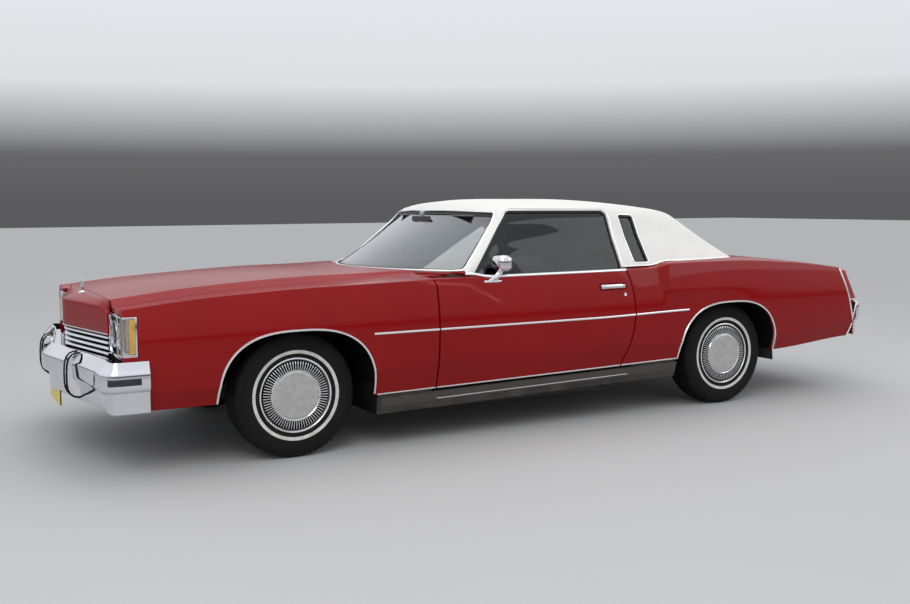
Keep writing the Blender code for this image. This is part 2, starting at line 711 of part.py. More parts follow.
def make_bumpers():
    front = bumper("front_bumper", both_halves(FRONT_BUMPER_HALF), FRONT_BUMPER_SECTION, CHROME)
    shelf = [(x + 0.030, y) for x, y, _ in both_halves(FRONT_BUMPER_HALF[4:])]
    shelf = [(-2.6306, shelf[0][1]), *shelf, (-2.6306, shelf[-1][1])]
    members = [prism("shelf", shelf, "Z", 0.578, 0.588)]
    for side in (-1, 1):
        members.append(box("bracket", (-2.75, side * 0.44 - 0.04, 0.36), (-2.6206, side * 0.44 + 0.04, 0.44)))
        low, high = (-2.812, side * 0.450 - 0.040, 0.366), (-2.735, side * 0.450 + 0.040, 0.604)
        members.append(box("guard", low, high, bevel=0.014, segments=2))
    join(front, *members)
    path = [(x, -y, depth) for x, y, depth in both_halves(REAR_BUMPER_HALF)]
    rear = bumper("rear_bumper", path, REAR_BUMPER_SECTION, CHROME)
    members = []
    for side in (-1, 1):
        low, high = side * 0.56 - 0.03, side * 0.56 + 0.03
        members.append(box("bracket", (2.5204, low, 0.345), (2.760, high, 0.400)))
        members.append(box("post", (2.700, low, 0.360), (2.760, high, 0.600)))
        members.append(box(
            "guard", (2.765, side * 0.420 - 0.040, 0.430), (2.846, side * 0.420 + 0.040, 0.660), bevel=0.012,
            segments=2))
    join(rear, *members)


def header_x(y):
    """The pointed front of the header panel and the grille, in plan."""
    share = abs(y) / HEADER_HALF_WIDTH
    return HEADER_TIP_X + HEADER_SWEEP * ((share ** 2 + 0.0016) ** 0.5 - 0.04)


def header_top_z(y):
    return 0.848 - 0.032 * ease((abs(y) - 0.500) / 0.120)


def make_header():
    rings = []
    for y in (-1.0, -0.90, -0.82, -0.45, -0.08, 0.0, 0.08, 0.45, 0.82, 0.90, 1.0):
        y *= HEADER_HALF_WIDTH
        front, top = header_x(y), header_top_z(y)
        rings.append([
            (-2.608, y, hood_z(HOOD_FRONT_X, y) - 0.003), (front + 0.006, y, top + 0.010), (front, y, top),
            (front, y, GRILLE_TOP_Z + 0.004), (-2.560, y, GRILLE_TOP_Z + 0.004), (-2.560, y, 0.800),
            (-2.608, y, 0.800)])
    header = loft("header_panel", rings, RED)
    support = box("support", (-2.575, -HEADER_HALF_WIDTH, 0.4204), (-2.530, HEADER_HALF_WIDTH, 0.799))
    base = box("ornament_base", (-2.668, -0.020, 0.855), (-2.612, 0.020, 0.893), bevel=0.004)
    blade = box("ornament_blade", (-2.652, -0.004, 0.880), (-2.624, 0.004, 0.962), bevel=0.002)
    join(header, support, base, blade)


def make_grille():
    """Four bars that follow the header's pointed front, between two end plates."""
    half_width = HEADER_HALF_WIDTH - 0.020
    bars = []
    for z in spread(GRILLE_BOTTOM_Z + 0.006, GRILLE_TOP_Z - 0.016, 4):
        rings = []
        for share in (-1.0, -0.5, -0.067, 0.0, 0.067, 0.5, 1.0):
            y = share * half_width
            front = header_x(y) + 0.006
            rings.append([(front, y, z), (front, y, z + 0.012), (-2.580, y, z + 0.012), (-2.580, y, z)])
        bars.append(loft("bar", rings))
    for y in (-half_width, half_width):
        low = (header_x(y) + 0.003, y - 0.007, GRILLE_BOTTOM_Z)
        bars.append(box("end", low, (-2.5754, y + 0.007, GRILLE_TOP_Z)))
    edge = half_width + 0.005
    grille = box("grille", (-2.590, -edge, GRILLE_BOTTOM_Z), (-2.5754, edge, GRILLE_TOP_Z + 0.0036), CHROME)
    join(grille, *bars)


def make_headlamps():
    """A housing with two round bowls on each side, and the corner lamp that wraps round the fender."""
    for side, label in ((-1, "left"), (1, "right")):
        y = sorted((side * (HEADER_HALF_WIDTH + SEAT), side * 0.945))
        lamp = box("headlamp_" + label, (LAMP_FACE_X, y[0], 0.6124), (-2.5566, y[1], 0.817), CHROME)
        bowls = []
        for lamp_y in LAMP_YS:
            start = (LAMP_FACE_X - 0.005, side * lamp_y, LAMP_Z)
            bowls.append(rod("bowl", start, (-2.580, side * lamp_y, LAMP_Z), LAMP_RADIUS, end_radius=0.052))
        cut(lamp, *bowls)
        corner = loft("corner", [
            [(-2.618, side * 0.930, z), (-2.612, side * 0.968, z), (-2.5566, side * 0.988, z),
             (-2.5566, side * 0.930, z)] for z in (0.640, 0.812)])
        join(lamp, corner)


def rail(name, path, half_width, half_height):
    rings = []
    for x, y, z in path:
        rings.append([
            (x, y - half_width, z - half_height), (x, y + half_width, z - half_height),
            (x, y + half_width, z + half_height), (x, y - half_width, z + half_height),
        ])
    return loft(name, rings)


def make_rear_axle():
    """A dropped beam between the rear hubs, on two leaf springs. The leaf's rows are x and z from the hub."""
    ends = (
        (-HUB_FACE_Y, 0.0), (-0.66, 0.0), (-0.52, -0.045), (0.52, -0.045), (0.66, 0.0), (HUB_FACE_Y, 0.0))
    rings = []
    for y, drop in ends:
        ring = []
        for k in range(10):
            angle = 2 * pi * k / 10
            ring.append((REAR_AXLE_X + 0.036 * cos(angle), y, TYRE_RADIUS + drop + 0.030 * sin(angle)))
        rings.append(ring)
    axle = loft("rear_axle", rings, STEEL)
    leaf = ((-0.559, -0.083), (-0.279, -0.087), (0.0, -0.065), (0.301, -0.061), (0.591, -0.045))
    leaf = [(REAR_AXLE_X + x, TYRE_RADIUS + z) for x, z in leaf]
    members = []
    for side in (-1, 1):
        low, high = sorted((side * 0.530, side * 0.590))
        members.append(loft("leaf_spring", [
            [(x, low, z - 0.007), (x, high, z - 0.007), (x, high, z + 0.007), (x, low, z + 0.007)]
            for x, z in leaf]))
        members.append(box(
            "spring_plate", (REAR_AXLE_X - 0.06, low, TYRE_RADIUS - 0.077),
            (REAR_AXLE_X + 0.06, high, TYRE_RADIUS - 0.035)))
        members.append(box(
            "shackle", (leaf[-1][0] - 0.028, low, leaf[-1][1] - 0.005),
            (leaf[-1][0] - 0.002, high, TYRE_RADIUS + 0.0035)))
    join(axle, *members)


def make_exhaust():
    """One pipe under the left-hand side of the floor, over the axle and out to the tail, with a silencer."""
    route = (
        (-1.240, 0.250), (-1.020, 0.236), (-0.900, 0.192), (-0.600, 0.170), (-0.400, 0.170), (0.700, 0.180),
        (0.860, 0.225), (1.100, 0.400), (1.330, 0.438), (1.470, 0.438), (1.600, 0.410), (1.800, 0.290),
        (2.560, 0.290))
    rings = []
    for k, (x, z) in enumerate(route):
        before, after = Vector(route[max(k - 1, 0)]), Vector(route[min(k + 1, len(route) - 1)])
        along = (after - before).normalized()
        rings.append([
            (x - along.y * 0.027 * sin(2 * pi * n / 10), -0.46 + 0.027 * cos(2 * pi * n / 10),
             z + along.x * 0.027 * sin(2 * pi * n / 10)) for n in range(10)])
    pipe = loft("exhaust", rings, STEEL)
    join(pipe, box("silencer", (-0.30, -0.56, 0.140), (0.35, -0.36, 0.2264), bevel=0.025, segments=2),
         box("hanger", (2.405, -0.480, 0.280), (2.455, -0.440, 0.3396)))


# The front arms from the tower to the knuckle, with their heights from the hub.
ARM_COLUMNS = ("name", "inner_y", "inner_z", "outer_y", "outer_z", "radius")
ARMS = (
    ("lower_arm", 0.36, -0.045, KINGPIN_Y - 0.0345, -0.090, 0.026),
    ("upper_arm", 0.40, 0.175, KINGPIN_Y - 0.0320, 0.155, 0.020),
)


def make_chassis():
    frame = box("chassis_frame", (-2.50, -0.47, 0.285), (-2.42, 0.47, 0.365), BLACK)
    members = []
    for side in (-1, 1):
        path = (
            (-2.620, 0.44, 0.380), (-2.300, 0.44, 0.325), (-1.350, 0.44, 0.325), (-1.050, 0.70, 0.1946),
            (0.740, 0.70, 0.1946), (1.020, 0.56, AXLE_FLOOR_Z - 0.0404), (1.740, 0.56, AXLE_FLOOR_Z - 0.0404),
            (2.020, 0.56, BOOT_FLOOR_Z - 0.0404), (2.520, 0.56, BOOT_FLOOR_Z - 0.0404))
        members.append(rail("rail", [(x, side * y, z) for x, y, z in path], 0.030, 0.040))
        y = sorted((side * 0.34, side * 0.46))
        members.append(box(
            "tower", (FRONT_AXLE_X - 0.08, y[0], 0.330),
            (FRONT_AXLE_X + 0.08, y[1], TYRE_RADIUS + 0.275)))
        for name, inner_y, inner_z, outer_y, outer_z, radius in ARMS:
            members.append(rod(
                name, (FRONT_AXLE_X, side * inner_y, TYRE_RADIUS + inner_z),
                (FRONT_AXLE_X, side * outer_y, TYRE_RADIUS + outer_z), radius))
    members.append(box(
        "front_member", (FRONT_AXLE_X - 0.06, -0.47, 0.235), (FRONT_AXLE_X + 0.06, 0.47, 0.2996)))
    members.append(box("middle_member", (-0.52, -0.72, 0.1974), (-0.42, 0.72, 0.2294)))
    for name, front_x, rear_x, floor_z in (
            ("arch_member", 1.02, 1.09, AXLE_FLOOR_Z), ("rear_member", 2.40, 2.46, BOOT_FLOOR_Z)):
        members.append(box(name, (front_x, -0.58, floor_z - 0.075), (rear_x, 0.58, floor_z - 0.015)))
    join(frame, *members)
    make_rear_axle()
    make_exhaust()
    box("engine_block", (-2.300, -0.30, 0.300), (-1.250, 0.30, 0.620), ENGINE)
    box("fuel_tank", (1.960, -0.380, 0.220), (2.380, 0.380, BOOT_FLOOR_Z - 0.0004), BLACK, bevel=0.02)


def make_body_shell():
    """Floor, sills, wheelhouses, rear bulkhead and parcel shelf, in one welded piece."""
    profile = (
        (-1.020, 0.300), (-0.900, FLOOR_Z), (0.740, FLOOR_Z), (0.960, AXLE_FLOOR_Z), (1.800, AXLE_FLOOR_Z),
        (2.020, BOOT_FLOOR_Z), (2.564, BOOT_FLOOR_Z), (2.564, BOOT_FLOOR_Z + FLOOR_THICK),
        (2.030, BOOT_FLOOR_Z + FLOOR_THICK), (1.810, AXLE_FLOOR_Z + FLOOR_THICK),
        (0.940, AXLE_FLOOR_Z + FLOOR_THICK), (0.730, FLOOR_Z + FLOOR_THICK), (-0.890, FLOOR_Z + FLOOR_THICK),
        (-1.020, 0.322))
    floor = prism("floor_pan", profile, "Y", -0.640, 0.640, BLACK)
    members = []
    for side in (-1, 1):
        y = sorted((side * 0.63, side * 0.885))
        members.append(box("outer_floor", (-0.900, y[0], FLOOR_Z), (0.735, y[1], FLOOR_Z + FLOOR_THICK)))
        low, high = sorted((side * SILL_IN_Y, side * SILL_OUT_Y))
        top = -0.010
        rings = []
        for x in (-1.240, 0.925):
            lip_z = SILL_BOTTOM_Z + SILL_RISE * (x + 0.3)
            rings.append([
                (x, side * SILL_IN_Y, SILL_BOTTOM_Z), (x, side * (SILL_OUT_Y - 0.030), lip_z),
                (x, side * SILL_OUT_Y, sill_z(x) + top), (x, side * SILL_IN_Y, sill_z(x) + top)])
        members.append(loft("sill", rings))
        low, high = sorted((side * 0.895, side * 0.955))
        top = DOOR_LIFT - SEAT
        for start, end in ((-1.230, -0.895), (0.560, 0.915)):
            members.append(loft("sill_step", [
                [(x, low, 0.29), (x, high, 0.29), (x, high, sill_z(x) + top), (x, low, sill_z(x) + top)]
                for x in (start, end)]))
        y = sorted((side * 0.640, side * 0.620))
        members.append(prism("wheelhouse", (
            (0.735, 0.245), (0.950, AXLE_FLOOR_Z + 0.010), (1.805, AXLE_FLOOR_Z + 0.010),
            (2.025, BOOT_FLOOR_Z + 0.010), (2.440, BOOT_FLOOR_Z + 0.010), (2.440, 0.860), (0.950, 0.860),
            (0.735, 0.560)), "Y", *y))
        y = sorted((side * 0.640, side * 0.885))
        members.append(box("kick_wall", (0.720, y[0], FLOOR_Z), (0.740, y[1], 0.560)))
    members.append(box("bulkhead", (1.060, -0.639, AXLE_FLOOR_Z + 0.005), (1.085, 0.639, 0.900)))
    members.append(box("shelf", (1.070, -0.780, 0.880), (1.500, 0.780, 0.905)))
    members.append(box("lid_support", (1.440, -0.8036, 0.880), (1.500, 0.8036, 0.905)))
    for side in (-1, 1):
        y = sorted((side * (SEAM_Y - LID_GAP / 2 + SEAT), side * (SEAM_Y + LID_GAP / 2 - SEAT)))
        members.append(box("lid_hinge", (1.480, y[0], 0.885), (1.600, y[1], 0.985)))
    join(floor, *members)


def make_cowl():
    """Firewall, cowl top, the posts that the doors hang on, and the aprons beside the engine."""
    cowl = box("firewall_cowl", (-1.045, -0.790, 0.3226), (-1.0205, 0.790, 0.905), BLACK)
    members = []
    top = []
    for y in (-0.795, -0.60, -0.40, -0.20, 0.0, 0.20, 0.40, 0.60, 0.795):
        front = hood_rear_x(y) + LID_GAP * 1.3
        rear = mix(-0.955, -0.640, abs(y / SEAM_Y) ** 2.2)
        z = 0.945 + 0.012 * (1 - (y / SEAM_Y) ** 2)
        top.append([(front, y, z), (rear, y, z), (rear, y, z - 0.055), (front, y, z - 0.055)])
    members.append(loft("cowl_top", top))
    for side in (-1, 1):
        y = sorted((side * 0.780, side * POST_Y))
        members.append(box("hinge_post", (-1.040, y[0], 0.2554), (-0.560, y[1], 0.915)))
        members.append(box("pillar_foot", (-0.700, y[0], 0.900), (-0.600, y[1], 0.9576)))
        y = sorted((side * (POST_Y - 0.010), side * (HINGE_Y - 0.040)))
        for z in HINGE_ZS:
            low, high = (DOOR_FRONT_X - 0.002, y[0], z), (HINGE_X + 0.010, y[1], z + 0.025)
            members.append(box("door_hinge", low, high))
        y = sorted((side * (SEAM_Y - LID_GAP / 2 + SEAT), side * (SEAM_Y + LID_GAP / 2 - SEAT)))
        members.append(box("hood_hinge", (-0.800, y[0], 0.880), (-0.735, y[1], 0.945)))
        y = sorted((side * 0.480, side * 0.500))
        members.append(box("apron", (-2.5296, y[0], 0.570), (-1.030, y[1], 0.790)))
    join(cowl, *members)
    cut(cowl, box("foot_room", (-0.99, -0.779, 0.2), (-0.56, 0.779, 0.85)))
    dash = loft("dashboard", [
        [(-0.965, y, 0.640), (-0.720, y, 0.660), (-0.660, y, 0.780), (-0.690, y, 0.870), (-0.850, y, 0.895),
         (-0.965, y, 0.900)] for y in (-0.785, 0.785)])
    brace = box("dash_brace", (-1.030, -0.785, 0.780), (-0.950, 0.785, 0.880))
    join(cowl, dash, brace)


def make_cabin():
    centre = Vector((-0.470, -0.370, 0.850))
    axis = Vector((0.90, 0.0, 0.42)).normalized()
    rim = [(0.185 + 0.013 * cos(2 * pi * k / 8), 0.013 * sin(2 * pi * k / 8)) for k in range(8)]
    ring = turned("steering_wheel", rim, (0, 0, 0), TRIM, steps=32, closed=True)
    ring.data.transform(Matrix.Translation(centre) @ axis.to_track_quat("Y", "Z").to_matrix().to_4x4())
    hub = rod("hub", centre - axis * 0.035, centre + axis * 0.010, 0.045)
    spoke = rod("spoke", centre - Vector((0, 0.186, 0)), centre + Vector((0, 0.186, 0)), 0.010, sides=8)
    down = axis.cross(Vector((0, 1, 0)))
    stalk = rod("stalk", centre, centre + down * 0.186 * (1 if down.z < 0 else -1), 0.010, sides=8)
    column = rod("column", centre, centre - axis * 0.2008, 0.022)
    join(ring, hub, spoke, stalk, column)
    seat = (
        (-0.30, 0.2554), (-0.32, 0.42), (-0.28, 0.50), (0.10, 0.47), (0.22, 0.90), (0.26, 1.02), (0.34, 1.02),
        (0.36, 0.90), (0.26, 0.2554))
    prism("front_seat", seat, "Y", -0.70, 0.70, TRIM)
    seat_z = AXLE_FLOOR_Z + FLOOR_THICK + SEAT
    seat = (
        (0.50, 0.2554), (0.46, 0.44), (0.50, 0.50), (0.86, 0.60), (0.96, 0.90), (1.055, 0.90), (1.055, seat_z),
        (0.925, seat_z), (0.715, 0.2554))
    prism("rear_seat", seat, "Y", -0.610, 0.610, TRIM)


def make_mirror():
    """The left-hand door mirror: a rounded head on a slanting stem and a flat foot."""
    top_z = side_value("crest_z", -0.50)
    low, high = (-0.462, -1.008, 0.975), (-0.374, -0.884, 1.072)
    head = box("mirror_left", low, high, CHROME, bevel=0.022, segments=3)
    stem = rod("stem", (-0.512, -0.924, top_z - 0.005), (-0.420, -0.938, 1.015), 0.015)
    foot = box("foot", (-0.556, -0.940, top_z - 0.004), (-0.470, -0.908, top_z + 0.009), bevel=0.003)
    join(head, stem, foot)
    cut(head, box("foot_trim", (-0.60, -1.1, 0.80), (-0.40, -0.80, top_z + SEAT)))


WHEEL_PROFILE = (
    (0.0, 0.108), (0.060, 0.107), (0.126, 0.102), (0.136, 0.090), (0.188, 0.088), (0.198, 0.099),
    (0.206, 0.097), (0.206, 0.0925), (0.1890, 0.085), (0.1890, -0.085), (0.178, -0.085), (0.172, 0.015),
    (0.145, 0.020), (0.142, -0.070), (0.0, -0.070),
)
TREAD = TYRE_RADIUS
TYRE_PROFILE = (
    (0.1894, -0.083), (0.225, -0.100), (0.280, -0.106), (TREAD - 0.020, -0.098), (TREAD - 0.002, -0.080),
    (TREAD, -0.040), (TREAD, 0.040), (TREAD - 0.002, 0.080), (TREAD - 0.020, 0.098), (0.280, 0.106),
    (0.225, 0.100), (0.1894, 0.083),
)


def make_wheels():
    for place, x in (("front", FRONT_AXLE_X), ("rear", REAR_AXLE_X)):
        for side, label in ((-1, "left"), (1, "right")):
            centre = (x, side * TYRE_PLANE_Y, TYRE_RADIUS)
            end = f"{place}_{label}"
            turned("wheel_" + end, [(r, side * y) for r, y in WHEEL_PROFILE], centre, CHROME, steps=40)
            turned("tyre_" + end, TYRE_PROFILE, centre, RUBBER, steps=48, closed=True)
    for side, label in ((-1, "left"), (1, "right")):
        y = side * KINGPIN_Y
        low, high = TYRE_RADIUS - 0.130, TYRE_RADIUS + 0.200
        knuckle = rod("knuckle_" + label, (FRONT_AXLE_X, y, low), (FRONT_AXLE_X, y, high), 0.030, STEEL)
        spindle = rod(
            "spindle", (FRONT_AXLE_X, y, TYRE_RADIUS), (FRONT_AXLE_X, side * HUB_FACE_Y, TYRE_RADIUS), 0.028)
        join(knuckle, spindle)


def main():
    clear_scene()
    make_greenhouse()
    make_side_panels()
    make_hood()
    make_tail()
    make_bumpers()
    make_header()
    make_grille()
    make_headlamps()
    make_chassis()
    make_body_shell()
    make_cowl()
    make_cabin()
    make_mirror()
    make_wheels()
    for tool in list(TOOLS.objects):
        bpy.data.objects.remove(tool)


PARTS = new_collection("Parts")
TOOLS = new_collection("Tools")
main()
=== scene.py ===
"""Looks of the luxury coupe: paint, vinyl, glass, bright trim, lamps, wheel covers, cabin and the studio.

Metres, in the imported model's frame: the nose points to -X, the left-hand side to -Y, +Z up.
Half-widths are positive: side -1 is the left-hand side and side +1 the right.
"""

from math import cos, pi, radians, sin

import bmesh
import bpy
from mathutils import Matrix, Vector
from mathutils.bvhtree import BVHTree


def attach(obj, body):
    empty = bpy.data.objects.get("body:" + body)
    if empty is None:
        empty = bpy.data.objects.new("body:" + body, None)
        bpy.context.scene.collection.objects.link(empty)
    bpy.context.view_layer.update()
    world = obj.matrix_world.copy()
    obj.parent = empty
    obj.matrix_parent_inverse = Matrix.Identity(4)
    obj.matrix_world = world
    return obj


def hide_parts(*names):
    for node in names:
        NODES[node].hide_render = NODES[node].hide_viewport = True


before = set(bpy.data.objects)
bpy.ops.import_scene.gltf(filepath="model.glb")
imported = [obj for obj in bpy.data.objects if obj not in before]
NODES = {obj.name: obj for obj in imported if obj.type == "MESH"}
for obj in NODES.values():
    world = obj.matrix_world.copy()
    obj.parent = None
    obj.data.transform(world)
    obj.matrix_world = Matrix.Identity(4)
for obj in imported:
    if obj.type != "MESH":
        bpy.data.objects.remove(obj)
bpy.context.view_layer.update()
SIDES = ((-1, "left"), (1, "right"))

FRONT_AXLE_X = -1.700
REAR_AXLE_X = 1.399
HUB_Z = 0.345
TYRE_Y = 0.808
BOTTOM_Z = 0.345
WIDE_Z = 0.690
TUCK_IN = 0.048
DOOR_GAP = 0.009
LID_GAP = 0.008
DOOR_FRONT_X = -0.866
DOOR_REAR_X = 0.550
DOOR_THICK = 0.085
FENDER_FRONT_X = -2.620
SEAM_Y = 0.800
HOOD_FRONT_X = -2.600
HOOD_REAR_X = -1.010
HOOD_CORNER_X = -0.730
DOME_HALF_WIDTH = 0.640
DOME_RISE = 0.030
HEADER_TIP_X = -2.745
HEADER_HALF_WIDTH = 0.620
HEADER_SWEEP = 0.130
GRILLE_TOP_Z = 0.700
GRILLE_BOTTOM_Z = 0.592
DECK_FRONT_X = 1.528
DECK_REAR_X = 2.520
TAIL_BOW = 0.080

SIDE_COLUMNS = ("x", "crest_z", "crest_y", "wide_y", "seam_z", "tuck_z")
SIDE_ROWS = (
    (-2.640, 0.860, 0.945, 0.984, 0.846, 0.462),
    (-2.200, 0.903, 0.957, 1.000, 0.893, 0.438),
    (-1.700, 0.929, 0.965, 1.008, 0.925, 0.446),
    (-1.200, 0.940, 0.967, 1.011, 0.943, 0.462),
    (-0.870, 0.946, 0.967, 1.011, 0.955, 0.472),
    (0.200, 0.950, 0.965, 1.011, 0.957, 0.475),
    (0.600, 0.953, 0.964, 1.008, 0.960, 0.470),
    (0.760, 0.960, 0.964, 1.007, 0.972, 0.468),
    (0.850, 0.982, 0.964, 1.007, 0.994, 0.465),
    (1.100, 0.985, 0.962, 1.006, 0.999, 0.458),
    (1.450, 0.982, 0.957, 1.003, 0.999, 0.452),
    (2.000, 0.952, 0.938, 0.985, 0.964, 0.458),
    (2.505, 0.896, 0.915, 0.957, 0.905, 0.483),
    (2.700, 0.868, 0.905, 0.945, 0.877, 0.495),
)

# Each row has x, y and z of the base and of the roof rail, then x and z on the middle line.
HOUSE_ROWS = (
    (-0.660, 0.895, 0.890, -0.618, 0.872, 0.972, -1.000, 0.975),
    (-0.560, 0.900, 0.900, -0.520, 0.820, 1.068, -0.795, 1.090),
    (-0.460, 0.905, 0.905, -0.428, 0.769, 1.160, -0.620, 1.192),
    (-0.360, 0.905, 0.910, -0.337, 0.720, 1.252, -0.456, 1.290),
    (-0.270, 0.905, 0.910, -0.256, 0.680, 1.338, -0.318, 1.375),
    (-0.160, 0.905, 0.910, -0.150, 0.673, 1.352, -0.180, 1.396),
    (0.200, 0.905, 0.910, 0.200, 0.673, 1.358, 0.200, 1.405),
    (0.500, 0.915, 0.920, 0.520, 0.672, 1.355, 0.540, 1.401),
    (0.660, 0.928, 0.930, 0.760, 0.669, 1.345, 0.780, 1.384),
    (0.860, 0.928, 0.940, 0.960, 0.665, 1.328, 0.940, 1.362),
    (1.020, 0.924, 0.940, 1.085, 0.668, 1.298, 1.050, 1.334),
    (1.150, 0.916, 0.940, 1.170, 0.688, 1.244, 1.140, 1.284),
    (1.280, 0.902, 0.940, 1.280, 0.728, 1.163, 1.270, 1.198),
    (1.400, 0.884, 0.940, 1.390, 0.780, 1.080, 1.400, 1.106),
    (1.500, 0.866, 0.940, 1.500, 0.840, 1.002, 1.520, 1.006),
)
DOOR_WINDOW = (
    (-0.572, 0.9482), (-0.238, 1.316), (-0.215, 1.322), (0.482, 1.318), (0.503, 1.300), (0.511, 0.974),
    (0.488, 0.9526))
OPERA_WINDOW = (
    (0.625, 0.990), (0.600, 1.290), (0.612, 1.300), (0.712, 1.296), (0.724, 1.283), (0.742, 0.990))
WINDSHIELD = (
    (-0.858, 0.978), (-0.675, 1.306), (-0.655, 1.321), (-0.300, 1.331), (0.300, 1.331), (0.655, 1.321),
    (0.675, 1.306), (0.858, 0.978))
BACKLIGHT = (
    (-0.735, 1.042), (-0.615, 1.235), (-0.585, 1.260), (0.585, 1.260), (0.615, 1.235), (0.735, 1.042))

WINDOW_ROUND = 0.018
GLASS_ROUND = 0.03
WINDSHIELD_REACH = (-1.4, -0.05)
BACKLIGHT_REACH = (0.98, 1.7)
LINING_DEPTH = 0.029
PANE_DEPTHS = (0.014, 0.020)
CUT_Y = 1.2
PANEL_ROWS = 64
DOOR_ROWS = 96
TOP_ROWS = 10


# Numbers and curves


def mix(a, b, t):
    return a + (b - a) * t


def ease(t):
    t = min(max(t, 0.0), 1.0)
    return t * t * (3 - 2 * t)


def spread(low, high, count):
    return [low + (high - low) * k / (count - 1) for k in range(count)]


def along_table(rows, column, x):
    """The column's value at x, on a smooth curve through the rows that never overshoots them."""
    xs = [row[0] for row in rows]
    values = [row[column] for row in rows]
    if x <= xs[0]:
        return values[0]
    if x >= xs[-1]:
        return values[-1]
    i = max(k for k in range(len(xs)) if xs[k] <= x)
    slopes = [(values[k + 1] - values[k]) / (xs[k + 1] - xs[k]) for k in range(len(xs) - 1)]

    def tangent(k):
        if k == 0 or k == len(xs) - 1:
            return slopes[min(k, len(slopes) - 1)]
        before, after = slopes[k - 1], slopes[k]
        return 0.0 if before * after <= 0 else 2 * before * after / (before + after)

    h = xs[i + 1] - xs[i]
    t = (x - xs[i]) / h
    return (
        values[i] * (1 + 2 * t) * (1 - t) ** 2 + tangent(i) * h * t * (1 - t) ** 2
        + values[i + 1] * t * t * (3 - 2 * t) + tangent(i + 1) * h * t * t * (t - 1)
    )


def through(points, count):
    """Points on a smooth curve through the given ones, count to each span."""
    points = [Vector(p) for p in points]
    spans = [max((b - a).length, 1e-6) for a, b in zip(points, points[1:])]
    tangents = []
    for k in range(len(points)):
        before = (points[k] - points[k - 1]) / spans[k - 1] if k else None
        after = (points[k + 1] - points[k]) / spans[k] if k < len(spans) else None
        if before is None or after is None:
            tangents.append(before or after)
        else:
            tangents.append((before * spans[k] + after * spans[k - 1]) / (spans[k - 1] + spans[k]))
    made = []
    for k, h in enumerate(spans):
        for n in range(count):
            t = n / count
            made.append(
                points[k] * ((1 + 2 * t) * (1 - t) ** 2) + tangents[k] * (h * t * (1 - t) ** 2)
                + points[k + 1] * (t * t * (3 - 2 * t)) + tangents[k + 1] * (h * t * t * (t - 1)))
    return made + [points[-1]]


def finer(grid, along, across):
    columns = [through(column, along) for column in zip(*grid)]
    return [through(row, across) for row in zip(*columns)]


def side_value(column, x):
    return along_table(SIDE_ROWS, SIDE_COLUMNS.index(column), x)


def crease_z(x):
    fall = max(x + 0.655, 0.0)
    return 0.900 + 0.08 * max(-0.64 - x, 0.0) - 0.56 * fall * fall / (fall + 0.012)


def hip_x(z):
    """The ridge where the quarter panel kicks out, leaning back a little down the side."""
    return 0.8225 - 0.0159 * (z - 0.724) / 0.254


def side_y(x, z):
    """Half-width of the body side: tucked in below, widest at the moulding, leaning in above it."""
    wide, crest = side_value("wide_y", x), side_value("crest_y", x)
    top, tuck = side_value("crest_z", x), side_value("tuck_z", x)
    if z < tuck:
        y = wide - 0.012 - (TUCK_IN - 0.012) * (tuck - z) / (tuck - BOTTOM_Z)
    elif z < WIDE_Z:
        y = wide - 0.012 * ((WIDE_Z - z) / (WIDE_Z - tuck)) ** 2
    else:
        y = mix(wide, crest, min(max((z - WIDE_Z) / (top - WIDE_Z), 0.0), 1.2) ** 1.5)
    shelf = 0.022 * ease((x + 1.0) / 0.12) * (1 - ease((x + 0.68) / 0.33))
    y -= shelf * ease((z - crease_z(x) + 0.004) / 0.020)
    hip = 0.018 * min(max((x - hip_x(z)) / 0.042 + 1.0, 0.0), 1.0) * (1 - ease((x - 0.9) / 0.9))
    return y + hip * ease((z - 0.70) / 0.12)


def on_side(x, z, side, out=0.0):
    """A point of the body side and the way that the surface looks there."""
    step = 0.004
    dx = (side_y(x + step, z) - side_y(x - step, z)) / (2 * step)
    dz = (side_y(x, z + step) - side_y(x, z - step)) / (2 * step)
    normal = Vector((-dx, side, -dz)).normalized()
    return Vector((x, side * side_y(x, z), z)) + normal * out, normal


def sill_z(x):
    return 0.326 + 0.018 * x


def fender_bottom_z(x):
    return BOTTOM_Z + (sill_z(x) + 0.004 - BOTTOM_Z) * ease((x + 1.75) / 0.2)


def quarter_bottom_z(x):
    behind = BOTTOM_Z + 0.045 * ease((x - 1.80) / 0.85)
    return mix(sill_z(x) + 0.004, behind, ease((x - 1.2) / 0.4))


def door_bottom_z(x):
    return sill_z(x) + 0.004


def door_rear_x(z):
    return DOOR_REAR_X - 0.734 * (z - 0.692) ** 2


def tail_x(z):
    if z > 0.490:
        return mix(2.505, 2.650, (0.900 - z) / 0.410)
    return mix(2.650, 2.595, (0.490 - z) / 0.145)


def hood_rear_x(y):
    return mix(HOOD_REAR_X, HOOD_CORNER_X, abs(y / SEAM_Y) ** 2.2)


def hood_z(x, y):
    crown = 0.012 * (1 - (y / SEAM_Y) ** 2)
    dome = DOME_RISE * (1 - ease((abs(y) - DOME_HALF_WIDTH + 0.05) / 0.07))
    return side_value("seam_z", x) + crown + dome * (1 - 0.30 * ease((x + 1.55) / 0.55))


def deck_z(x, y):
    return side_value("seam_z", x) + 0.016 * (1 - (y / SEAM_Y) ** 2)


def header_x(y):
    """The pointed front of the header panel and the grille, in plan."""
    share = abs(y) / HEADER_HALF_WIDTH
    return HEADER_TIP_X + HEADER_SWEEP * ((share ** 2 + 0.0016) ** 0.5 - 0.04)


def header_top_z(y):
    return 0.848 - 0.032 * ease((abs(y) - 0.500) / 0.120)


def tail_bow(y):
    """How far the tail stands further back at y than at its corners."""
    return TAIL_BOW * (1 - (y / SEAM_Y) ** 2)


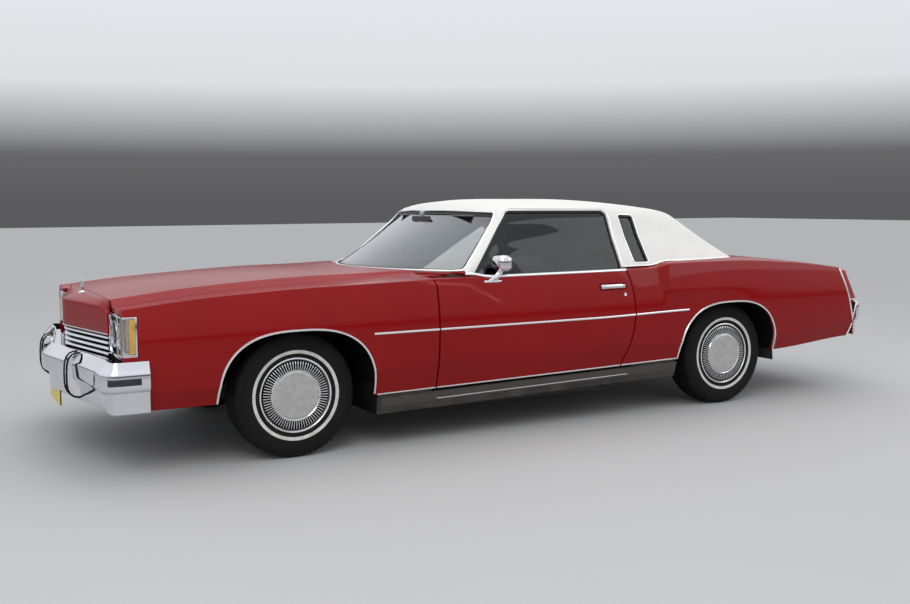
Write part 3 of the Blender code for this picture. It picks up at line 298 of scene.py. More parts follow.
def arch_outline(x_low, x_high, top_z, bottom_z, power=2.7, count=14):
    middle, half = (x_low + x_high) / 2, (x_high - x_low) / 2
    points = []
    for k in range(count + 1):
        angle = pi * k / count
        c, s = cos(angle), sin(angle)
        x = middle - half * (1 if c >= 0 else -1) * abs(c) ** (2 / power)
        points.append((x, bottom_z + (top_z - bottom_z) * s ** (2 / power)))
    return points


def grown(outline, amount):
    """The outline with each corner moved out by the amount."""
    moved = []
    count = len(outline)
    for k, (a, b) in enumerate(outline):
        before, after = Vector(outline[k - 1]), Vector(outline[(k + 1) % count])
        here = Vector((a, b))
        first, second = (here - before).normalized(), (after - here).normalized()
        normal = Vector((-(first + second).y, (first + second).x)).normalized()
        scale = amount / max((1 + first.dot(second)) / 2, 0.3) ** 0.5
        moved.append(tuple(here + normal * scale))
    return moved


def rounded(outline, radius, steps=5):
    """A closed outline with each corner rounded off."""
    made = []
    count = len(outline)
    for k in range(count):
        here = Vector(outline[k])
        before, after = Vector(outline[k - 1]), Vector(outline[(k + 1) % count])
        cut_in = min(radius, (before - here).length * 0.48, (after - here).length * 0.48)
        start = here + (before - here).normalized() * cut_in
        end = here + (after - here).normalized() * cut_in
        for n in range(steps + 1):
            t = n / steps
            made.append(start * (1 - t) ** 2 + here * (2 * t * (1 - t)) + end * t * t)
    return made


# Materials


def feed(tree, node, inputs):
    """Sets a node's inputs, each to a value or from another node's output."""
    for key, value in inputs.items():
        if isinstance(value, bpy.types.NodeSocket):
            tree.links.new(value, node.inputs[key])
        else:
            node.inputs[key].default_value = value


def add_node(tree, kind, inputs=(), **settings):
    """A new shader node's outputs."""
    made = tree.nodes.new("ShaderNode" + kind)
    for key, value in settings.items():
        setattr(made, key, value)
    feed(tree, made, dict(inputs))
    return made.outputs


def finish(
    name, colour, roughness, second, scale, metallic=0.0, grain=0.0, grain_scale=400.0, cells=False,
    uneven=0.06, coat=0.0, clear=0.0, ior=1.5, dust_and_shade=0.0, shine=0.5,
):
    """A surface with two colours that drift into each other, uneven roughness and a fine grain."""
    made = bpy.data.materials.new(name)
    made.use_nodes = True
    tree = made.node_tree
    shader = tree.nodes["Principled BSDF"]
    place = add_node(tree, "TexCoord")["Object"]
    drift = add_node(tree, "TexNoise", {"Scale": scale, "Detail": 6.0, "Vector": place})["Fac"]
    share = add_node(tree, "MapRange", {"From Min": 0.35, "From Max": 0.65, "Value": drift})["Result"]
    colours = {"A": (*colour, 1.0), "B": (*second, 1.0), "Factor": share}
    base = add_node(tree, "Mix", colours, data_type="RGBA")["Result"]
    # Towards the bottom the colour mixes in specks into a grey-brown: real dust on the dark sill, and on the
    # red paint painted shade on the lower side.
    if dust_and_shade:
        height = add_node(tree, "SeparateXYZ", {"Vector": place})["Z"]
        low = add_node(tree, "MapRange", {
            "From Min": 0.62, "From Max": 0.22, "To Max": dust_and_shade, "Value": height})["Result"]
        speck = add_node(tree, "TexNoise", {"Scale": 40.0, "Detail": 8.0, "Vector": place})["Fac"]
        dust_and_shade_mix = add_node(tree, "Math", {0: low, 1: speck}, operation="MULTIPLY")["Value"]
        colours = {"A": base, "B": (0.16, 0.14, 0.12, 1.0), "Factor": dust_and_shade_mix}
        base = add_node(tree, "Mix", colours, data_type="RGBA")["Result"]
    rough = add_node(tree, "MapRange", {
        "To Min": max(roughness - uneven, 0.0), "To Max": min(roughness + uneven, 1.0), "Value": drift})
    feed(tree, shader, {
        "Base Color": base, "Roughness": rough["Result"], "Metallic": metallic, "IOR": ior,
        "Specular IOR Level": shine, "Coat Weight": coat, "Coat Roughness": 0.03,
        "Transmission Weight": clear})
    if grain:
        kind, result = ("TexVoronoi", "Distance") if cells else ("TexNoise", "Fac")
        height = add_node(tree, kind, {"Scale": grain_scale, "Vector": place})[result]
        bump = add_node(tree, "Bump", {"Strength": grain, "Distance": 0.001, "Height": height})
        feed(tree, shader, {"Normal": bump["Normal"]})
    return made


# The red paint turns a little darker and greyer towards the bottom: painted shade on the lower side.
PAINT = finish("paint_red", (0.245, 0.0028, 0.0040), 0.36, (0.225, 0.0024, 0.0034), 2.0, coat=0.36,
    grain=0.015, grain_scale=900.0, dust_and_shade=0.03, shine=0.04)
VINYL = finish("vinyl_cream", (0.74, 0.73, 0.685), 0.52, (0.69, 0.68, 0.63), 5.0, grain=0.35,
    grain_scale=420.0, cells=True)
BRIGHT = finish("bright_metal", (0.76, 0.76, 0.79), 0.055, (0.70, 0.70, 0.74), 9.0, metallic=1.0,
    uneven=0.03, grain=0.01, grain_scale=60.0)
TRIM = finish("trim_metal", (0.93, 0.93, 0.93), 0.20, (0.88, 0.88, 0.89), 9.0, metallic=1.0, uneven=0.04,
    grain=0.01, grain_scale=60.0)
SATIN = finish("satin_metal", (0.60, 0.60, 0.58), 0.34, (0.52, 0.52, 0.50), 30.0, metallic=0.9, grain=0.05,
    grain_scale=300.0)
# Near-black painted shade, for the grille opening behind the bars, the recess behind the headlamps and the
# cowl air slots.
SHADE_BLACK = finish("painted_shade_black", (0.012, 0.012, 0.013), 0.55, (0.022, 0.021, 0.020), 30.0, grain=0.1)
SILL_GREY = finish("sill_black", (0.046, 0.040, 0.039), 0.40, (0.055, 0.048, 0.046), 14.0, dust_and_shade=0.15,
    grain=0.08, grain_scale=500.0)
RUBBER = finish("tyre_black", (0.0045, 0.0045, 0.0048), 0.80, (0.008, 0.0075, 0.007), 18.0, grain=0.25,
    grain_scale=350.0, shine=0.22)
WHITEWALL = finish("whitewall", (0.66, 0.66, 0.60), 0.55, (0.50, 0.50, 0.45), 22.0, grain=0.1,
    grain_scale=250.0)
SEAL = finish("seal_black", (0.014, 0.014, 0.015), 0.6, (0.03, 0.03, 0.03), 40.0, grain=0.1)
GLASS = finish("tinted_glass", (0.10, 0.12, 0.115), 0.0, (0.09, 0.11, 0.105), 2.0, uneven=0.0, clear=1.0,
    ior=1.45)
SCREEN = finish("windshield_glass", (0.34, 0.40, 0.42), 0.0, (0.32, 0.38, 0.40), 2.0, uneven=0.0, clear=1.0,
    ior=1.95, coat=0.5)
LAMP_GLASS = finish("lamp_glass", (0.95, 0.96, 0.97), 0.02, (0.90, 0.91, 0.92), 12.0, uneven=0.02,
    clear=1.0, ior=1.45, grain=0.2, grain_scale=120.0)
AMBER = finish("amber_lens", (0.60, 0.38, 0.09), 0.16, (0.50, 0.28, 0.05), 25.0, coat=0.8, grain=0.4,
    grain_scale=260.0, cells=True)
LENS_RED = finish("red_lens", (0.34, 0.010, 0.012), 0.14, (0.25, 0.006, 0.008), 25.0, coat=0.9, grain=0.4,
    grain_scale=260.0, cells=True)
TRIM_BLACK = finish("cabin_vinyl", (0.028, 0.026, 0.026), 0.48, (0.045, 0.042, 0.040), 20.0, grain=0.4,
    grain_scale=500.0, cells=True)
CARPET = finish("carpet", (0.030, 0.026, 0.026), 0.95, (0.055, 0.048, 0.046), 60.0, grain=0.9,
    grain_scale=900.0)
UNDER = finish("underbody", (0.026, 0.025, 0.024), 0.80, (0.062, 0.054, 0.046), 7.0, grain=0.35,
    grain_scale=160.0)
STEEL = finish("cast_metal", (0.13, 0.125, 0.12), 0.55, (0.10, 0.065, 0.045), 15.0, metallic=0.7,
    grain=0.35, grain_scale=200.0)
ENGINE = finish("engine_paint", (0.045, 0.085, 0.14), 0.42, (0.03, 0.045, 0.06), 9.0, grain=0.3,
    grain_scale=180.0)
MIRROR = finish("mirror_glass", (0.90, 0.91, 0.92), 0.015, (0.88, 0.89, 0.90), 8.0, metallic=1.0,
    uneven=0.005)
# Near-black painted shade: the dark wheelhouses made blacker for the shade deep in them, the splash panels
# behind the front wheels and the recess under the wheel-cover fins.
WELL_SHADE = finish("wheelhouse_shade_black", (0.004, 0.004, 0.004), 0.95, (0.007, 0.006, 0.006), 9.0, grain=0.4,
    grain_scale=140.0, shine=0.1)
FLAP = finish("flap_rubber", (0.014, 0.014, 0.014), 0.80, (0.025, 0.024, 0.022), 14.0, grain=0.2)
BAND = finish("bumper_band", (0.012, 0.014, 0.030), 0.35, (0.022, 0.022, 0.034), 30.0, grain=0.1)
PLATE_YELLOW = finish("blank_plate", (0.80, 0.60, 0.10), 0.45, (0.72, 0.52, 0.08), 12.0, grain=0.05)
LINER = finish("headlining", (0.16, 0.15, 0.14), 0.9, (0.13, 0.125, 0.115), 30.0, grain=0.3)
SEAT_CLOTH = finish("seat_cloth", (0.035, 0.010, 0.012), 0.75, (0.055, 0.016, 0.018), 30.0, grain=0.5,
    grain_scale=700.0)
WOOD = finish("dash_wood", (0.075, 0.030, 0.014), 0.35, (0.030, 0.012, 0.007), 45.0, coat=0.6)
FLOOR = finish("studio_floor", (0.44, 0.437, 0.43), 0.80, (0.43, 0.427, 0.42), 0.6, grain=0.05,
    grain_scale=90.0)

# A slot name for each finish, looked up in keep() where the call names no other, and then not used.
SLOTS = {
    PAINT.name: "body_red", VINYL.name: "vinyl_white", BRIGHT.name: "chrome", TRIM.name: "chrome",
    GLASS.name: "glass_tinted", SCREEN.name: "glass_tinted", LENS_RED.name: "lens_red",
    RUBBER.name: "tyre_rubber", WHITEWALL.name: "tyre_rubber", TRIM_BLACK.name: "interior_black",
    SEAT_CLOTH.name: "interior_black",
}
NO_SLOT = ""

# Mesh helpers


def add_object(name, data):
    obj = bpy.data.objects.new(name, data)
    bpy.context.scene.collection.objects.link(obj)
    return obj


def smooth(mesh, angle):
    mesh.shade_smooth()
    mesh.set_sharp_from_angle(angle=radians(angle))


def keep(name, mesh, material, body="body", stands_for=(), slot=None, sharp=35):
    """A piece of the object that moves with a body."""
    obj = add_object(name, mesh)
    finishes = material if isinstance(material, list) else [material]
    for one in finishes:
        mesh.materials.append(one)
    smooth(mesh, sharp)
    if body:
        slot = SLOTS.get(finishes[0].name) if slot is None else slot
        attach(obj, body)
        if stands_for:
            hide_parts(*stands_for)
    return obj


def mesh_from(name, bm):
    bmesh.ops.recalc_face_normals(bm, faces=bm.faces)
    if all(edge.is_manifold for edge in bm.edges) and bm.calc_volume(signed=True) < 0:
        bmesh.ops.reverse_faces(bm, faces=bm.faces)
    mesh = bpy.data.meshes.new(name)
    bm.to_mesh(mesh)
    bm.free()
    return mesh


def baked(obj, *modifiers):
    """Applies modifiers, given as (kind, settings)."""
    for kind, settings in modifiers:
        modifier = obj.modifiers.new(kind.lower(), kind)
        for key, value in settings.items():
            setattr(modifier, key, value)
    graph = bpy.context.evaluated_depsgraph_get()
    made = bpy.data.meshes.new_from_object(obj.evaluated_get(graph))
    obj.modifiers.clear()
    obj.data = made
    return obj


def edges_of(width, segments=3, angle=40):
    return "BEVEL", {
        "width": width, "segments": segments, "limit_method": "ANGLE", "angle_limit": radians(angle)}


def cut(obj, *cutters, operation="DIFFERENCE", sharp=35):
    baked(obj, *[("BOOLEAN", {"operation": operation, "object": one, "solver": "EXACT"}) for one in cutters])
    for one in cutters:
        bpy.data.objects.remove(one)
    obj.data.set_sharp_from_angle(angle=radians(sharp))
    return obj


def bridge(bm, rings, caps=True, closed=True, slot=0):
    for first, second in zip(rings, rings[1:]):
        for k in range(len(first) if closed else len(first) - 1):
            after = (k + 1) % len(first)
            bm.faces.new((first[k], first[after], second[after], second[k])).material_index = slot
    if caps:
        bm.faces.new(rings[0])
        bm.faces.new(rings[-1])


def ring_mesh(name, rings, caps=True, loop=False):
    bm = bmesh.new()
    made = [[bm.verts.new(p) for p in ring] for ring in rings]
    bridge(bm, made + ([made[0]] if loop else []), caps=caps and not loop)
    return mesh_from(name, bm)


def prism(name, outline, axis, low, high):
    """A cutter: an outline of two coordinates, extruded along the third axis."""
    others = [k for k in range(3) if k != "XYZ".index(axis)]
    rings = []
    for level in (low, high):
        ring = []
        for a, b in outline:
            point = [0.0, 0.0, 0.0]
            point[others[0]], point[others[1]], point["XYZ".index(axis)] = a, b, level
            ring.append(point)
        rings.append(ring)
    return keep(name, ring_mesh(name, rings), [], body=None)


def cutter_block(low, high, bevel=0.0):
    return keep("cutter", block_mesh("cutter", low, high, bevel), [], body=None)


def block_mesh(name, low, high, bevel=0.0, segments=3):
    bm = bmesh.new()
    size, middle = Vector(high) - Vector(low), (Vector(high) + Vector(low)) / 2
    bmesh.ops.create_cube(bm, size=1.0, matrix=Matrix.Translation(middle) @ Matrix.Diagonal((*size, 1.0)))
    if bevel:
        bmesh.ops.bevel(
            bm, geom=list(bm.edges), offset=bevel, segments=segments, affect="EDGES", profile=0.5,
            clamp_overlap=True)
    return mesh_from(name, bm)


def block(name, low, high, material, body="body", bevel=0.003, **more):
    return keep(name, block_mesh(name, low, high, bevel), material, body, **more)


def side_block(name, side, low, high, material, body="body", **more):
    """A block on one side of the car, with its y given as half-widths."""
    y = sorted((side * low[1], side * high[1]))
    return block(name, (low[0], y[0], low[2]), (high[0], y[1], high[2]), material, body, **more)


def loft(name, rings, material, body="body", stands_for=(), **more):
    return keep(name, ring_mesh(name, rings), material, body, stands_for, **more)


def oval(wide, deep, count):
    return [(wide * cos(a), deep * sin(a)) for a in spread(0, 2 * pi, count + 1)[:-1]]


def turned_mesh(name, profile, centre, steps=96, closed=False, axis=(0, 1, 0)):
    """A profile of (radius, along) turned round an axis through the centre."""
    turn = Vector(axis).to_track_quat("Y", "Z").to_matrix()
    rings = []
    for k in range(steps):
        a = 2 * pi * k / steps
        points = [Vector((r * cos(a), along, r * sin(a))) for r, along in profile]
        rings.append([Vector(centre) + turn @ p for p in points])
    bm = bmesh.new()
    made = [[bm.verts.new(p) for p in ring] for ring in rings]
    bridge(bm, made + [made[0]], caps=False, closed=closed)
    bmesh.ops.remove_doubles(bm, verts=bm.verts, dist=0.00002)
    return mesh_from(name, bm)


def turned(name, profile, centre, material, body="body", steps=96, closed=False, axis=(0, 1, 0), **more):
    return keep(name, turned_mesh(name, profile, centre, steps, closed, axis), material, body, **more)


def plate_mesh(name, outer, inner, inner_slot=0):
    bm = bmesh.new()
    sheets = [[[bm.verts.new(p) for p in row] for row in rows] for rows in (outer, inner)]
    rims = []
    for number, grid in enumerate(sheets):
        bridge(bm, grid, caps=False, closed=False, slot=inner_slot if number else 0)
        start, end = [row[0] for row in grid], [row[-1] for row in grid]
        rims.append(grid[0][:-1] + end[:-1] + grid[-1][:0:-1] + start[:0:-1])
    bridge(bm, rims, caps=False)
    return mesh_from(name, bm)


def sunk(rows, depth):
    """The same grid moved in along its own normals."""
    moved = []
    last, end = len(rows) - 1, len(rows[0]) - 1
    for i, row in enumerate(rows):
        line = []
        for k, point in enumerate(row):
            along = Vector(rows[min(i + 1, last)][k]) - Vector(rows[max(i - 1, 0)][k])
            across = Vector(row[min(k + 1, end)]) - Vector(row[max(k - 1, 0)])
            line.append(Vector(point) - along.cross(across).normalized() * depth)
        moved.append(line)
    return moved


def mirrored(rows):
    return [[(x, -y, z) for x, y, z in reversed(row)] for row in rows]


def strip(name, points, normals, section, material, body="body", loop=False, **more):
    """A moulding swept along a path on a surface. The section's points are (across, out)."""
    rings = []
    last = len(points) - 1
    for k, point in enumerate(points):
        if loop:
            along = points[(k + 1) % len(points)] - points[k - 1]
        else:
            along = points[min(k + 1, last)] - points[max(k - 1, 0)]
        across = along.normalized().cross(normals[k]).normalized()
        rings.append([point + across * a + normals[k] * b for a, b in section])
    return keep(name, ring_mesh(name, rings, loop=loop), material, body, **more)


def bead(width, height, sink=0.002, flat=0.3):
    """The section of a bright moulding: a low crown on a flat back."""
    made = [(-width / 2, -sink), (-width / 2, height * 0.3)]
    for k in range(7):
        a = pi * (1 - k / 6)
        made.append((width / 2 * cos(a) * (1 - flat * 0.2), height * (0.45 + 0.55 * sin(a))))
    return made + [(width / 2, height * 0.3), (width / 2, -sink)]


def side_strip(name, path, side, section, material, body, **more):
    pairs = [on_side(x, z, side) for x, z in path]
    return strip(name, [p for p, _ in pairs], [n for _, n in pairs], section, material, body, **more)


# Body side panels


def side_grid(front_x, rear_x, bottom_z, columns, rows_up, top_count=0):
    rows = []
    for share in spread(0.0, 1.0, columns):
        row = []
        for height in spread(0.0, 1.0, rows_up):
            x = mix(front_x(BOTTOM_Z), rear_x(BOTTOM_Z), share)
            for _ in range(5):
                z = mix(bottom_z(x), side_value("crest_z", x), height)
                x = mix(front_x(z), rear_x(z), share)
            row.append((x, -side_y(x, z), z))
        x, y, z = row[-1]
        for k in range(1, top_count + 1):
            t = k / top_count
            lift = 1 - (1 - t) ** 2
            row.append((x, mix(y, -(SEAM_Y + LID_GAP / 2), t), mix(z, side_value("seam_z", x), lift)))
        rows.append(row)
    return rows


def inner_side(rows, thickness, sides, flat_top=False):
    """The sheet's other face, its rows drawn together a little so that it doesn't fold under the crest."""
    made = []
    for row in rows:
        low, crest = row[0][2], row[sides - 1][2]
        shrink = 1.0 if flat_top else (crest - thickness - low) / (crest - low)
        line = [(x, y + thickness, low + (z - low) * shrink) for x, y, z in row[:sides]]
        for k, (x, y, z) in enumerate(row[sides:], sides):
            line.append((x, y + thickness * (len(row) - 1 - k) / (len(row) - sides), z - thickness))
        made.append(line)
    return made


FRONT_ARCH = (-2.155, -1.252, 0.716, 0.300)
REAR_ARCH = (0.930, 1.825, 0.716, 0.300)


def make_sides():
    gap = DOOR_GAP / 2
    sheets = []
    for name, front_x, rear_x, bottom_z, columns, thickness, arch in (
        ("fender", lambda z: FENDER_FRONT_X, lambda z: DOOR_FRONT_X - gap, fender_bottom_z, 120, 0.020,
         FRONT_ARCH),
        ("quarter", lambda z: door_rear_x(z) + gap, tail_x, quarter_bottom_z, 150, 0.030, REAR_ARCH),
        ("door", lambda z: DOOR_FRONT_X + gap, lambda z: door_rear_x(z) - gap, door_bottom_z, 130, DOOR_THICK,
         None),
    ):
        rows_up, top_rows = (PANEL_ROWS, TOP_ROWS) if arch else (DOOR_ROWS, 0)
        outer = side_grid(front_x, rear_x, bottom_z, columns, rows_up, top_rows)
        sheets.append((name, outer, inner_side(outer, thickness, rows_up, flat_top=not arch), arch))
    for side, label in SIDES:
        for name, outer, inner, arch in sheets:
            rows = (outer, inner) if side < 0 else (mirrored(outer), mirrored(inner))
            mesh = plate_mesh(name, *rows, inner_slot=0 if arch else 1)
            finishes, body = (PAINT, "body") if arch else ([PAINT, TRIM_BLACK], "door_" + label)
            panel = keep(f"{name}_{label}_panel", mesh, finishes, body, (f"{name}_{label}",))
            baked(panel, edges_of(0.0035, 3, 58))
            if arch:
                points = arch_outline(*arch, count=60)
                outline = [(points[0][0], 0.1), *points, (points[-1][0], 0.1)]
                cut(panel, prism("arch", outline, "Y", -CUT_Y, CUT_Y))
            if name == "fender":
                cut(panel, cutter_block((-2.8, -CUT_Y, 0.627), (-2.545, CUT_Y, 0.8278)))
            smooth(panel.data, 30)


LIP = (
    (0.000, -0.014), (-0.001, 0.002), (0.001, 0.0050), (0.005, 0.0055), (0.010, 0.0040), (0.0115, -0.001),
    (0.008, -0.002), (0.003, -0.014))


def make_sill_covers():
    """The dark panel below each door and the bright line along it."""
    for side, label in SIDES:
        def at(x, t, out=0.0):
            top_z, low_z = sill_z(x) - 0.011, 0.232 + 0.018 * (x + 0.3)
            return Vector((x, side * (mix(0.9732, 0.9432, t) + out), mix(top_z, low_z, t)))

        rings = []
        for x in spread(-1.216, 0.923, 40):
            face = [at(x, k / 12, 0.003 * sin(pi * k / 12)) for k in range(13)]
            rings.append(face + [at(x, 1.0, -0.008), at(x, 0.0, -0.008)])
        loft("sill_cover_" + label, rings, SILL_GREY)
        line = [at(x, 0.52, 0.003) for x in spread(DOOR_FRONT_X, 0.520, 40)]
        strip("sill_line_" + label, line, [Vector((0, side * 0.95, -0.31))] * 40, bead(0.006, 0.003), TRIM)
        # The splash panel behind each front wheel is near-black painted shade.
        side_block(
            "splash_panel_" + label, side, (-1.262, 0.500, 0.205), (-1.240, 0.945, 0.372), WELL_SHADE, bevel=0.002)


def make_side_trim():
    gap = DOOR_GAP / 2
    front, rear, sill_rear = DOOR_FRONT_X, DOOR_REAR_X, door_rear_x(0.35)
    for side, label in SIDES:
        for end, arch, bottom in (
            ("front", FRONT_ARCH, fender_bottom_z), ("rear", REAR_ARCH, quarter_bottom_z),
        ):
            path = [p for p in arch_outline(*arch, count=160) if p[1] > bottom(p[0])]
            side_strip(f"arch_lip_{end}_{label}", path, side, [(a * -side, b) for a, b in LIP], TRIM, "body")
        for kind, height, section, spans in (
            ("side", lambda x: 0.664 + 0.013 * ease((x - 0.2) / 0.9), bead(0.013, 0.0055),
             ((-1.278, front - gap), (front + gap, rear - gap), (rear + gap, 0.992))),
            ("sill", lambda x: sill_z(x) + 0.010, bead(0.011, 0.005),
             ((-1.240, front - gap), (front + gap, sill_rear - gap), (sill_rear + gap, 0.924))),
        ):
            for place, span in zip(("front", "door", "rear"), spans):
                path = [(x, height(x)) for x in spread(*span, 60)]
                body = "door_" + label if place == "door" else "body"
                side_strip(f"{kind}_moulding_{place}_{label}", path, side, section, TRIM, body)


# Hood, deck, header


def sheet_mesh(name, xs, ys, front, rear, height, thickness):
    outer = []
    for share in xs:
        row = []
        for y in ys:
            x = mix(front(y), rear(y), share)
            row.append((x, y, height(x, y)))
        outer.append(row)
    inner = [[(x, y, z - thickness) for x, y, z in row] for row in outer]
    return plate_mesh(name, outer, inner)


def make_lids():
    edge = SEAM_Y - LID_GAP / 2
    ys = spread(-edge, edge, 121)
    hood = keep(
        "hood_panel", sheet_mesh(
            "hood", spread(0, 1, 90), ys, lambda y: HOOD_FRONT_X, hood_rear_x, hood_z, 0.026),
        PAINT, "hood", ("hood",))
    baked(hood, edges_of(0.003, 3, 45))
    deck = keep(
        "trunk_panel", sheet_mesh(
            "deck", spread(0, 1, 60), ys, lambda y: DECK_FRONT_X, lambda y: DECK_REAR_X + tail_bow(y), deck_z,
            0.026),
        PAINT, "trunk_lid", ("trunk_lid",))
    baked(deck, edges_of(0.004, 3, 45))


# Greenhouse


def coarse_house():
    grid = []
    for base_x, base_y, base_z, rail_x, rail_y, rail_z, mid_x, mid_z in HOUSE_ROWS:
        half = []
        for share in (0.0, 0.5, 1.0):
            y = mix(base_y, rail_y, share) + 0.010 * sin(pi * share)
            half.append((mix(base_x, rail_x, share), -y, mix(base_z, rail_z, share)))
        for share in (0.10, 0.32, 0.62, 1.0):
            x = mix(rail_x, mid_x, 1 - (1 - share) ** 2)
            z = mix(rail_z, mid_z, 1 - (1 - share) ** 2.4)
            half.append((x, -rail_y * (1 - share), z))
        grid.append(half + [(x, -y, z) for x, y, z in reversed(half[:-1])])
    return grid


HOUSE = finer(coarse_house(), 7, 7)


def house_tree():
    verts = [p for row in HOUSE for p in row]
    width = len(HOUSE[0])
    faces = [
        (i * width + k, i * width + k + 1, (i + 1) * width + k + 1, (i + 1) * width + k)
        for i in range(len(HOUSE) - 1) for k in range(width - 1)]
    return BVHTree.FromPolygons(verts, faces)


TREE = house_tree()


def on_house(a, b, way, out=0.0):
    """A point of the greenhouse seen from the left, right, front or rear, and the way it looks."""
    starts = {
        "left": ((a, -2.0, b), (0, 1, 0)), "right": ((a, 2.0, b), (0, -1, 0)),
        "front": ((-2.5, a, b), (1, 0, 0)), "rear": ((3.0, a, b), (-1, 0, 0))}
    start, aim = starts[way]
    place, normal, _, _ = TREE.ray_cast(Vector(start), Vector(aim))
    if place is None:
        return None
    if normal.dot(Vector(aim)) > 0:
        normal = -normal
    return place + normal * out, normal


def house_strip(name, outline, way, section, material, body="body", loop=True, dense=0.02, out=0.0, **more):
    points = []
    pairs = list(zip(outline, outline[1:] + ([outline[0]] if loop else [])))
    for start, end in pairs:
        start, end = Vector(start), Vector(end)
        steps = max(1, int((end - start).length / dense))
        points += [start.lerp(end, k / steps) for k in range(steps)]
    if not loop:
        points.append(Vector(outline[-1]))
    hits = [on_house(p.x, p.y, way, out) for p in points]
    hits = [h for h in hits if h]
    return strip(name, [h[0] for h in hits], [h[1] for h in hits], section, material, body, loop=loop, **more)


def side_reach(side):
    """The span in y of a cutter through the windows of one side."""
    return sorted((side * 1.1, side * 0.60))


def make_roof():
    lining = finer(sunk(coarse_house(), LINING_DEPTH), 7, 7)
    sheet = plate_mesh("roof", HOUSE, lining, inner_slot=1)
    roof = keep("roof_covering", sheet, [VINYL, LINER], "body", ("roof",))
    belt = (
        (-2.0, 0.5), (2.0, 0.5), (2.0, 0.996), (1.45, 0.994), (0.845, 0.988), (0.790, 0.973), (0.52, 0.964),
        (0.30, 0.955), (-0.56, 0.955), (-0.64, 0.9705), (-2.0, 0.9705))
    cut(roof, prism("belt", belt, "Y", -CUT_Y, CUT_Y))
    opening = grown(DOOR_WINDOW, DOOR_GAP)
    opening = [(opening[0][0] - 0.075, 0.88), *opening[:-1], (opening[-2][0], 0.88)]
    for side, _ in SIDES:
        cut(roof, prism("opening", opening, "Y", *side_reach(side)))
        cut(roof, prism("opening", rounded(OPERA_WINDOW, WINDOW_ROUND), "Y", *side_reach(side)))
    cut(roof, prism("opening", rounded(WINDSHIELD, WINDOW_ROUND), "X", *WINDSHIELD_REACH))
    cut(roof, prism("opening", rounded(BACKLIGHT, GLASS_ROUND), "X", *BACKLIGHT_REACH))
    smooth(roof.data, 38)


def make_pane(name, outline, axis, reach, node, body="body", material=GLASS):
    sheets = [sunk(HOUSE, depth) for depth in PANE_DEPTHS]
    glass = keep(name, plate_mesh(name, *sheets), material, body, (node,))
    cut(glass, prism("outline", outline, axis, *reach), operation="INTERSECT")
    smooth(glass.data, 40)


def make_glass():
    def inset(outline, radius):
        return rounded(grown(outline, -0.001), radius)

    make_pane("windshield_glass", inset(WINDSHIELD, WINDOW_ROUND), "X", WINDSHIELD_REACH, "windshield",
              material=SCREEN)
    make_pane("backlight_glass", inset(BACKLIGHT, GLASS_ROUND), "X", BACKLIGHT_REACH, "backlight")
    for side, label in SIDES:
        reach = side_reach(side)
        opera = inset(OPERA_WINDOW, WINDOW_ROUND)
        make_pane("opera_glass_" + label, opera, "Y", reach, "quarter_window_" + label)
        make_pane("side_glass_" + label, DOOR_WINDOW, "Y", reach, "door_glass_" + label, "door_" + label)


def make_house_trim():
    for way, outline, name in (("front", WINDSHIELD, "windshield"), ("rear", BACKLIGHT, "backlight")):
        house_strip(name + "_moulding", rounded(outline, GLASS_ROUND), way, bead(0.013, 0.005, 0.010), TRIM)
        house_strip(
            name + "_seal", rounded(grown(outline, -0.012), GLASS_ROUND), way,
            [(-0.008, -0.010), (-0.008, -0.014), (0.006, -0.014), (0.006, -0.004)], SEAL)
    foot = [p + Vector((-0.003, 0, -0.008)) for p in HOUSE[0] if p.z > 0.9715 and abs(p.y) < 0.866]
    strip("windshield_base", foot, [Vector((-0.6, 0, 0.8))] * len(foot),
          [(-0.010, -0.012), (-0.010, 0.002), (0.010, 0.002), (0.010, -0.012)], PAINT)
    for side, label in SIDES:
        opera = rounded(OPERA_WINDOW, WINDOW_ROUND)
        house_strip("opera_frame_" + label, opera, label, bead(0.008, 0.004, 0.012), TRIM)
        house_strip(
            "opera_seal_" + label, rounded(grown(OPERA_WINDOW, -0.008), 0.014), label,
            [(-0.004, -0.014), (0.004, -0.014), (0.004, -0.004), (-0.004, -0.004)], SEAL)
        rail = grown(DOOR_WINDOW, DOOR_GAP + 0.010)
        rail = [(rail[0][0] - 0.012, rail[0][1] + 0.012), *rail[1:-1], (rail[-2][0], 0.988)]
        rail = rounded(rail, GLASS_ROUND)[6:-6]
        house_strip("drip_rail_" + label, rail, label, bead(0.006, 0.006), TRIM, loop=False)
        inner = grown(DOOR_WINDOW, DOOR_GAP / 2)
        inner[-1] = (inner[-2][0], 0.985)
        house_strip(
            "door_seal_" + label, inner, label,
            [(-0.004, -0.020), (0.004, -0.020), (0.004, -0.006), (-0.004, -0.006)], SEAL, loop=False)
        path = []
        for x in spread(-0.655, 0.500, 40):
            lift = 1 - ease((x + 0.62) / 0.12)
            y, z = side_y(x, 0.94) - 0.006 - 0.012 * lift, side_value("crest_z", x) + 0.001 + 0.018 * lift
            path.append(Vector((x, side * y, z)))
        ways = [Vector((0, side * 0.75, 0.66))] * 40
        strip("belt_moulding_" + label, path, ways, bead(0.017, 0.006, 0.004), TRIM, "door_" + label)
        path = through((
            (0.530, 0.967), (0.640, 0.970), (0.765, 0.974), (0.805, 0.982), (0.850, 0.992), (1.000, 0.9945),
            (1.300, 0.997), (1.470, 0.999)), 6)
        house_strip("roof_base_moulding_" + label, path, label, bead(0.010, 0.006), TRIM, loop=False)


# Nose


def bumper_mesh(name, path, section):
    rings = []
    for k, (x, y, depth) in enumerate(path):
        before, after = Vector(path[max(k - 1, 0)][:2]), Vector(path[min(k + 1, len(path) - 1)][:2])
        along = (after - before).normalized()
        out = Vector((-along.y, along.x))
        rings.append([
            (x + out.x * (d - share * depth), y + out.y * (d - share * depth), z) for share, d, z in section])
    return ring_mesh(name, rings)


def fine_half(half, count=5):
    points = through(half, count)
    return [(x, -y, d) for x, y, d in points] + [(x, y, d) for x, y, d in reversed(points)]


